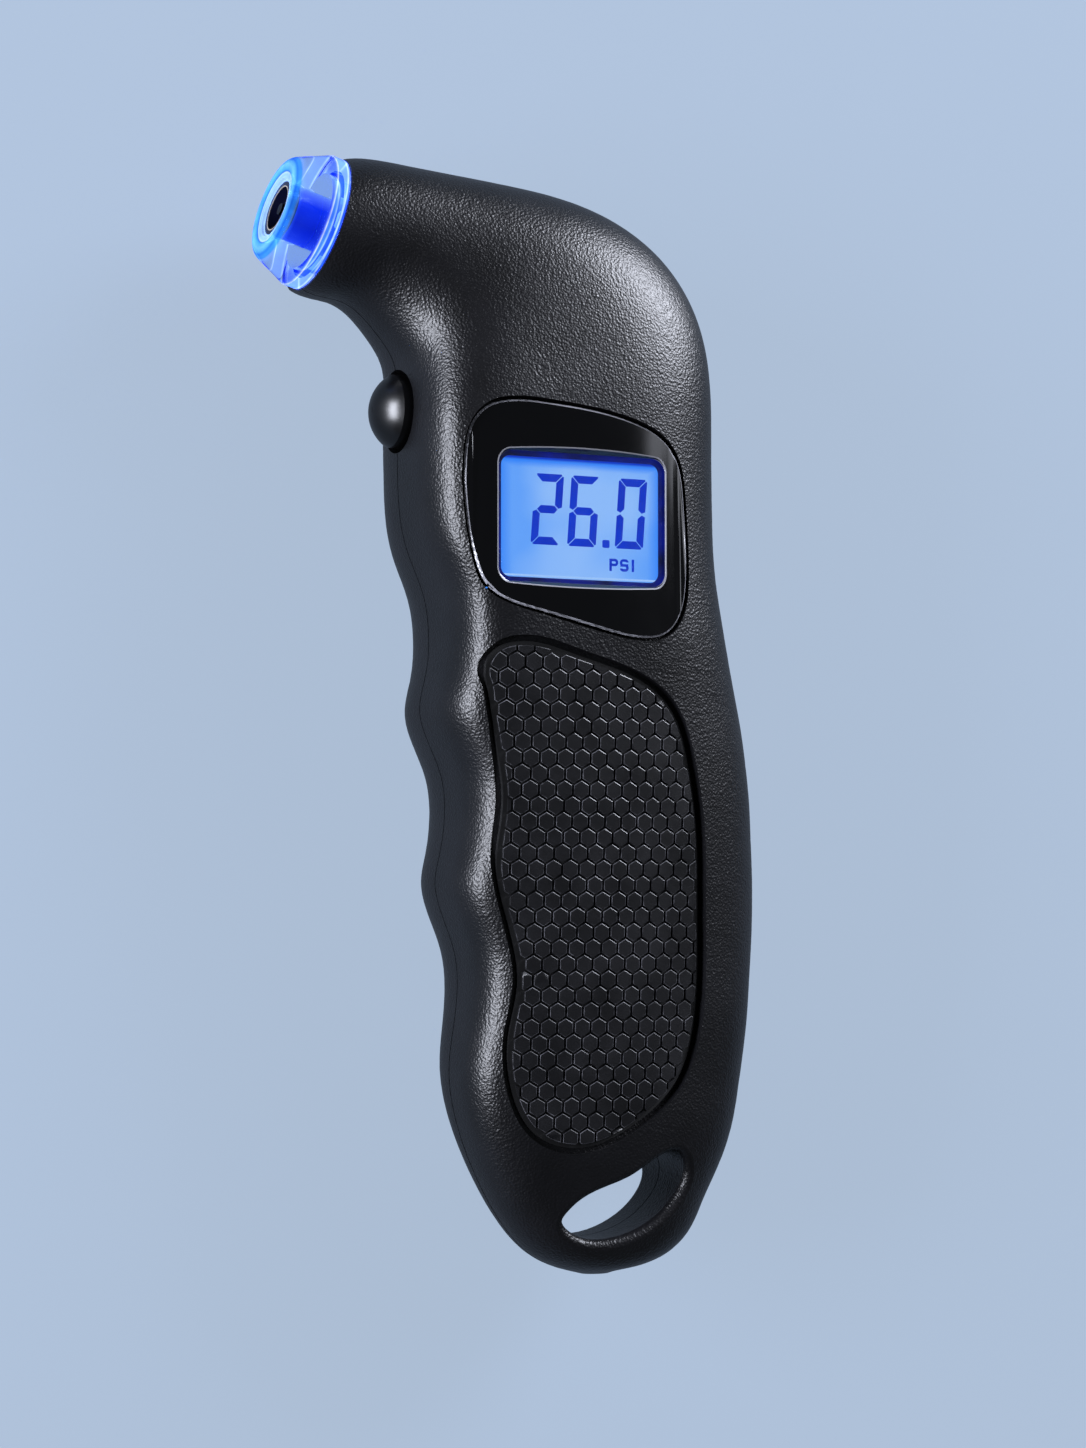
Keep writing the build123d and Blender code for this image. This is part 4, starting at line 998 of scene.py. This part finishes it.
@dataclass
class Nozzle:
    """The lit nozzle and the sensor block behind it."""

    wardrobe: Wardrobe
    steps: int = 128
    merge_mm: float = 0.001
    smooth_degrees: float = 38.0

    def lens(self) -> bpy.types.Object:
        """Turns the clear lens: its spigot, its band, its cone and the round rim of its mouth.

        Returns:
            The new piece, at its place in the frame.
        """
        spigot = [(-2.5, 6.4), (-2.5, 7.15), (0.1, 7.15)]
        band = [(0.1, 9.0), (0.2, 9.1), (1.8, 9.1), (1.95, 9.04)]
        cone = [(3.5, 8.36), (5.2, 7.62), (6.15, 7.2)]
        rim = [(6.45, 7.0), (6.72, 6.72), (6.88, 6.4), (6.94, 6.05), (6.94, 5.7), (6.88, 5.3), (6.8, 5.12)]
        step = [(6.72, 5.0), (6.66, 4.6), (6.66, 4.2), (6.6, 4.12)]
        bore = [(6.3, 4.1), (6.3, 3.75), (1.4, 3.75), (1.4, 6.4)]
        profile = spigot + band + cone + rim + step + bore
        deselect_all()
        bpy.ops.mesh.primitive_circle_add(vertices=len(profile), radius=MM, location=(0, 0, 0))
        lens = bpy.context.object
        lens.name = "turned_nozzle_lens"
        turn = Matrix.Rotation(math.radians(NOZZLE_TURN), 4, "Z")
        centre = Vector(COLLAR_CENTRE) * MM
        for vertex, (along, radius) in zip(lens.data.vertices, profile):
            vertex.co = centre + turn @ (Vector((along, radius, 0)) * MM)
        axis = turn @ Vector((1, 0, 0))
        bpy.ops.object.mode_set(mode="EDIT")
        bpy.ops.mesh.select_all(action="SELECT")
        bpy.ops.mesh.spin(steps=self.steps, angle=math.tau, center=centre, axis=axis)
        bpy.ops.mesh.select_all(action="SELECT")
        bpy.ops.mesh.remove_doubles(threshold=self.merge_mm * MM)
        bpy.ops.mesh.normals_make_consistent(inside=False)
        bpy.ops.object.mode_set(mode="OBJECT")
        bpy.ops.object.shade_smooth_by_angle(angle=math.radians(self.smooth_degrees))
        return lens

    def build(self, nodes: dict[str, bpy.types.Object]) -> None:
        """Dresses the nozzle's nodes.

        Args:
            nodes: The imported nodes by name.
        """
        lens = self.lens()
        self.wardrobe.dress(lens, Finish.LENS)
        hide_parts("nozzle_lens")
        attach(lens, "gauge")
        finishes = {
            "nozzle_core": Finish.CORE,
            "nozzle_led": Finish.LAMP,
            "mouth_seal": Finish.SEAL,
            "valve_depressor": Finish.BLACK_STEEL,
            "o_ring": Finish.RUBBER,
            "sensor_block": Finish.WHITE,
            "sensor_gasket": Finish.RUBBER,
            "pressure_sensor": Finish.STEEL,
            "sensor_cable": Finish.BLACK_WIRE,
        }
        for name, finish in finishes.items():
            self.wardrobe.dress(nodes[name], finish)


@dataclass
class Electronics:
    """The circuit board, the coin cell and the wires between them."""

    wardrobe: Wardrobe

    def build(self, nodes: dict[str, bpy.types.Object]) -> None:
        """Dresses the pieces inside the casing.

        Args:
            nodes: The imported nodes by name.
        """
        finishes = {
            "circuit_board": Finish.BOARD,
            "controller_chip": Finish.CHIP,
            "board_components": Finish.CHIP,
            "board_screw_1": Finish.STEEL,
            "board_screw_2": Finish.STEEL,
            "coin_cell": Finish.STEEL,
            "negative_contact": Finish.STEEL,
            "positive_contact": Finish.STEEL,
            "negative_wire": Finish.BLACK_WIRE,
            "positive_wire": Finish.RED_WIRE,
        }
        for name, finish in finishes.items():
            self.wardrobe.dress(nodes[name], finish)


@dataclass
class Softbox:
    """One rectangular lamp that points at the gauge."""

    name: str
    direction: tuple[float, float, float]
    distance_m: float
    size_m: tuple[float, float]
    power_w: float
    colour: str = "#eef2ff"

    def build(self, target: Vector) -> None:
        """Adds the lamp.

        Args:
            target: The point that the lamp faces.
        """
        lamp = bpy.data.lights.new(self.name, "AREA")
        lamp.shape = "RECTANGLE"
        lamp.size, lamp.size_y = self.size_m
        lamp.energy = self.power_w
        lamp.color = linear(self.colour)[:3]
        holder = bpy.data.objects.new(self.name, lamp)
        bpy.context.scene.collection.objects.link(holder)
        away = Vector(self.direction).normalized()
        holder.location = target + away * self.distance_m
        holder.rotation_euler = away.to_track_quat("Z", "Y").to_euler()


@dataclass
class Studio:
    """The pale floor, the soft lamps and the camera above the gauge."""

    floor_colour: str = "#3a4452"
    floor_glow: str = "#b4c5da"
    floor_strength: float = 0.84
    floor_in_gloss: float = 0.35
    floor_size_m: float = 4.0
    floor_thickness_m: float = 0.02
    floor_grain: float = 6.0
    world_colour: str = "#e4ecf8"
    world_strength: float = 0.1
    target_mm: tuple[float, float, float] = (5.2, -0.25, 13.5)
    turn_degrees: float = 26.0
    drop_degrees: float = 3.0
    distance_mm: float = 439.0
    lens_mm: float = 80.0
    film_mm: float = 36.0

    def floor(self) -> None:
        """Lays the floor: it keeps the shadow, and looks pale to the camera and in reflections."""
        deselect_all()
        bpy.ops.mesh.primitive_plane_add(size=self.floor_size_m, location=(0, 0, 0))
        floor = bpy.context.object
        floor.name = "studio_floor"
        bpy.ops.object.mode_set(mode="EDIT")
        bpy.ops.mesh.select_all(action="SELECT")
        bpy.ops.mesh.extrude_region_move(TRANSFORM_OT_translate={"value": (0, 0, -self.floor_thickness_m)})
        bpy.ops.mesh.select_all(action="SELECT")
        bpy.ops.mesh.normals_make_consistent(inside=False)
        bpy.ops.object.mode_set(mode="OBJECT")
        material, tree, place = new_material("painted_floor")
        grain = add_node(
            tree, "ShaderNodeTexNoise", {"Vector": place, "Scale": self.floor_grain, "Detail": 2.0}
        )
        rough = add_node(tree, "ShaderNodeMapRange", {"Value": grain, "To Min": 0.55, "To Max": 0.65})
        path = add_node(tree, "ShaderNodeLightPath")
        seen = add_node(
            tree,
            "ShaderNodeMath",
            {0: path.outputs["Is Glossy Ray"], 1: self.floor_in_gloss, 2: path.outputs["Is Camera Ray"]},
            operation="MULTIPLY_ADD",
        )
        seen = add_node(
            tree, "ShaderNodeMath", {0: seen, 1: path.outputs["Is Transmission Ray"]}, operation="MAXIMUM"
        )
        glow = add_node(tree, "ShaderNodeMath", {0: seen, 1: self.floor_strength}, operation="MULTIPLY")
        shader = add_node(
            tree,
            "ShaderNodeBsdfPrincipled",
            {
                "Base Color": linear(self.floor_colour),
                "Roughness": rough,
                "Specular IOR Level": 0.0,
                "Emission Color": linear(self.floor_glow),
                "Emission Strength": glow,
            },
        )
        add_node(tree, "ShaderNodeOutputMaterial", {"Surface": shader})
        floor.data.materials.append(material)

    def lamps(self) -> None:
        """Hangs the lamps and lights the world."""
        target = Vector(self.target_mm) * MM
        boxes = (
            Softbox("finger_side_softbox", (-0.94, 0.06, 0.28), 0.6, (0.4, 0.22), 9.0),
            Softbox("head_softbox", (0.72, 0.6, 0.34), 0.7, (0.32, 0.26), 9.0),
            Softbox("frame_softbox", (0.68, 0.42, 0.64), 0.8, (0.36, 0.3), 1.1),
        )
        for box in boxes:
            box.build(target)
        world = bpy.data.worlds.new("studio_world")
        world.use_nodes = True
        world.node_tree.nodes.clear()
        light = add_node(
            world.node_tree,
            "ShaderNodeBackground",
            {"Color": linear(self.world_colour), "Strength": self.world_strength},
        )
        add_node(world.node_tree, "ShaderNodeOutputWorld", {"Surface": light})
        bpy.context.scene.world = world

    def camera(self) -> None:
        """Aims the camera down at the gauge from the finger side."""
        turn = math.radians(self.turn_degrees)
        drop = math.radians(self.drop_degrees)
        back = Vector((-math.sin(turn) * math.cos(drop), -math.sin(drop), math.cos(turn) * math.cos(drop)))
        right = Vector((math.cos(turn), 0, math.sin(turn)))
        up = back.cross(right)
        eye = Vector(self.target_mm) * MM + back * (self.distance_mm * MM)
        view = bpy.data.cameras.new("studio_camera")
        view.lens = self.lens_mm
        view.sensor_height = self.film_mm
        view.sensor_fit = "VERTICAL"
        view.clip_start = 0.01
        holder = bpy.data.objects.new("studio_camera", view)
        bpy.context.scene.collection.objects.link(holder)
        turned = Matrix((right, up, back)).transposed().to_4x4()
        turned.translation = eye
        holder.matrix_world = turned
        bpy.context.scene.camera = holder

    def build(self) -> None:
        """Sets the whole studio up."""
        self.floor()
        self.lamps()
        self.camera()
        bpy.context.scene.view_settings.view_transform = "Standard"


def main() -> None:
    """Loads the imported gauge, dresses each sub-assembly and sets up the studio."""
    logging.basicConfig(level=logging.INFO, format="%(name)s: %(message)s")
    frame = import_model()
    nodes = frame["nodes"]
    wardrobe = Wardrobe({})
    for assembly in (
        Casing(wardrobe),
        GripPad(wardrobe),
        Display(wardrobe),
        PowerButton(wardrobe),
        Nozzle(wardrobe),
        Electronics(wardrobe),
    ):
        assembly.build(nodes)
        LOG.info("%s is dressed", type(assembly).__name__)
    Studio().build()


if __name__ == "__main__":
    main()
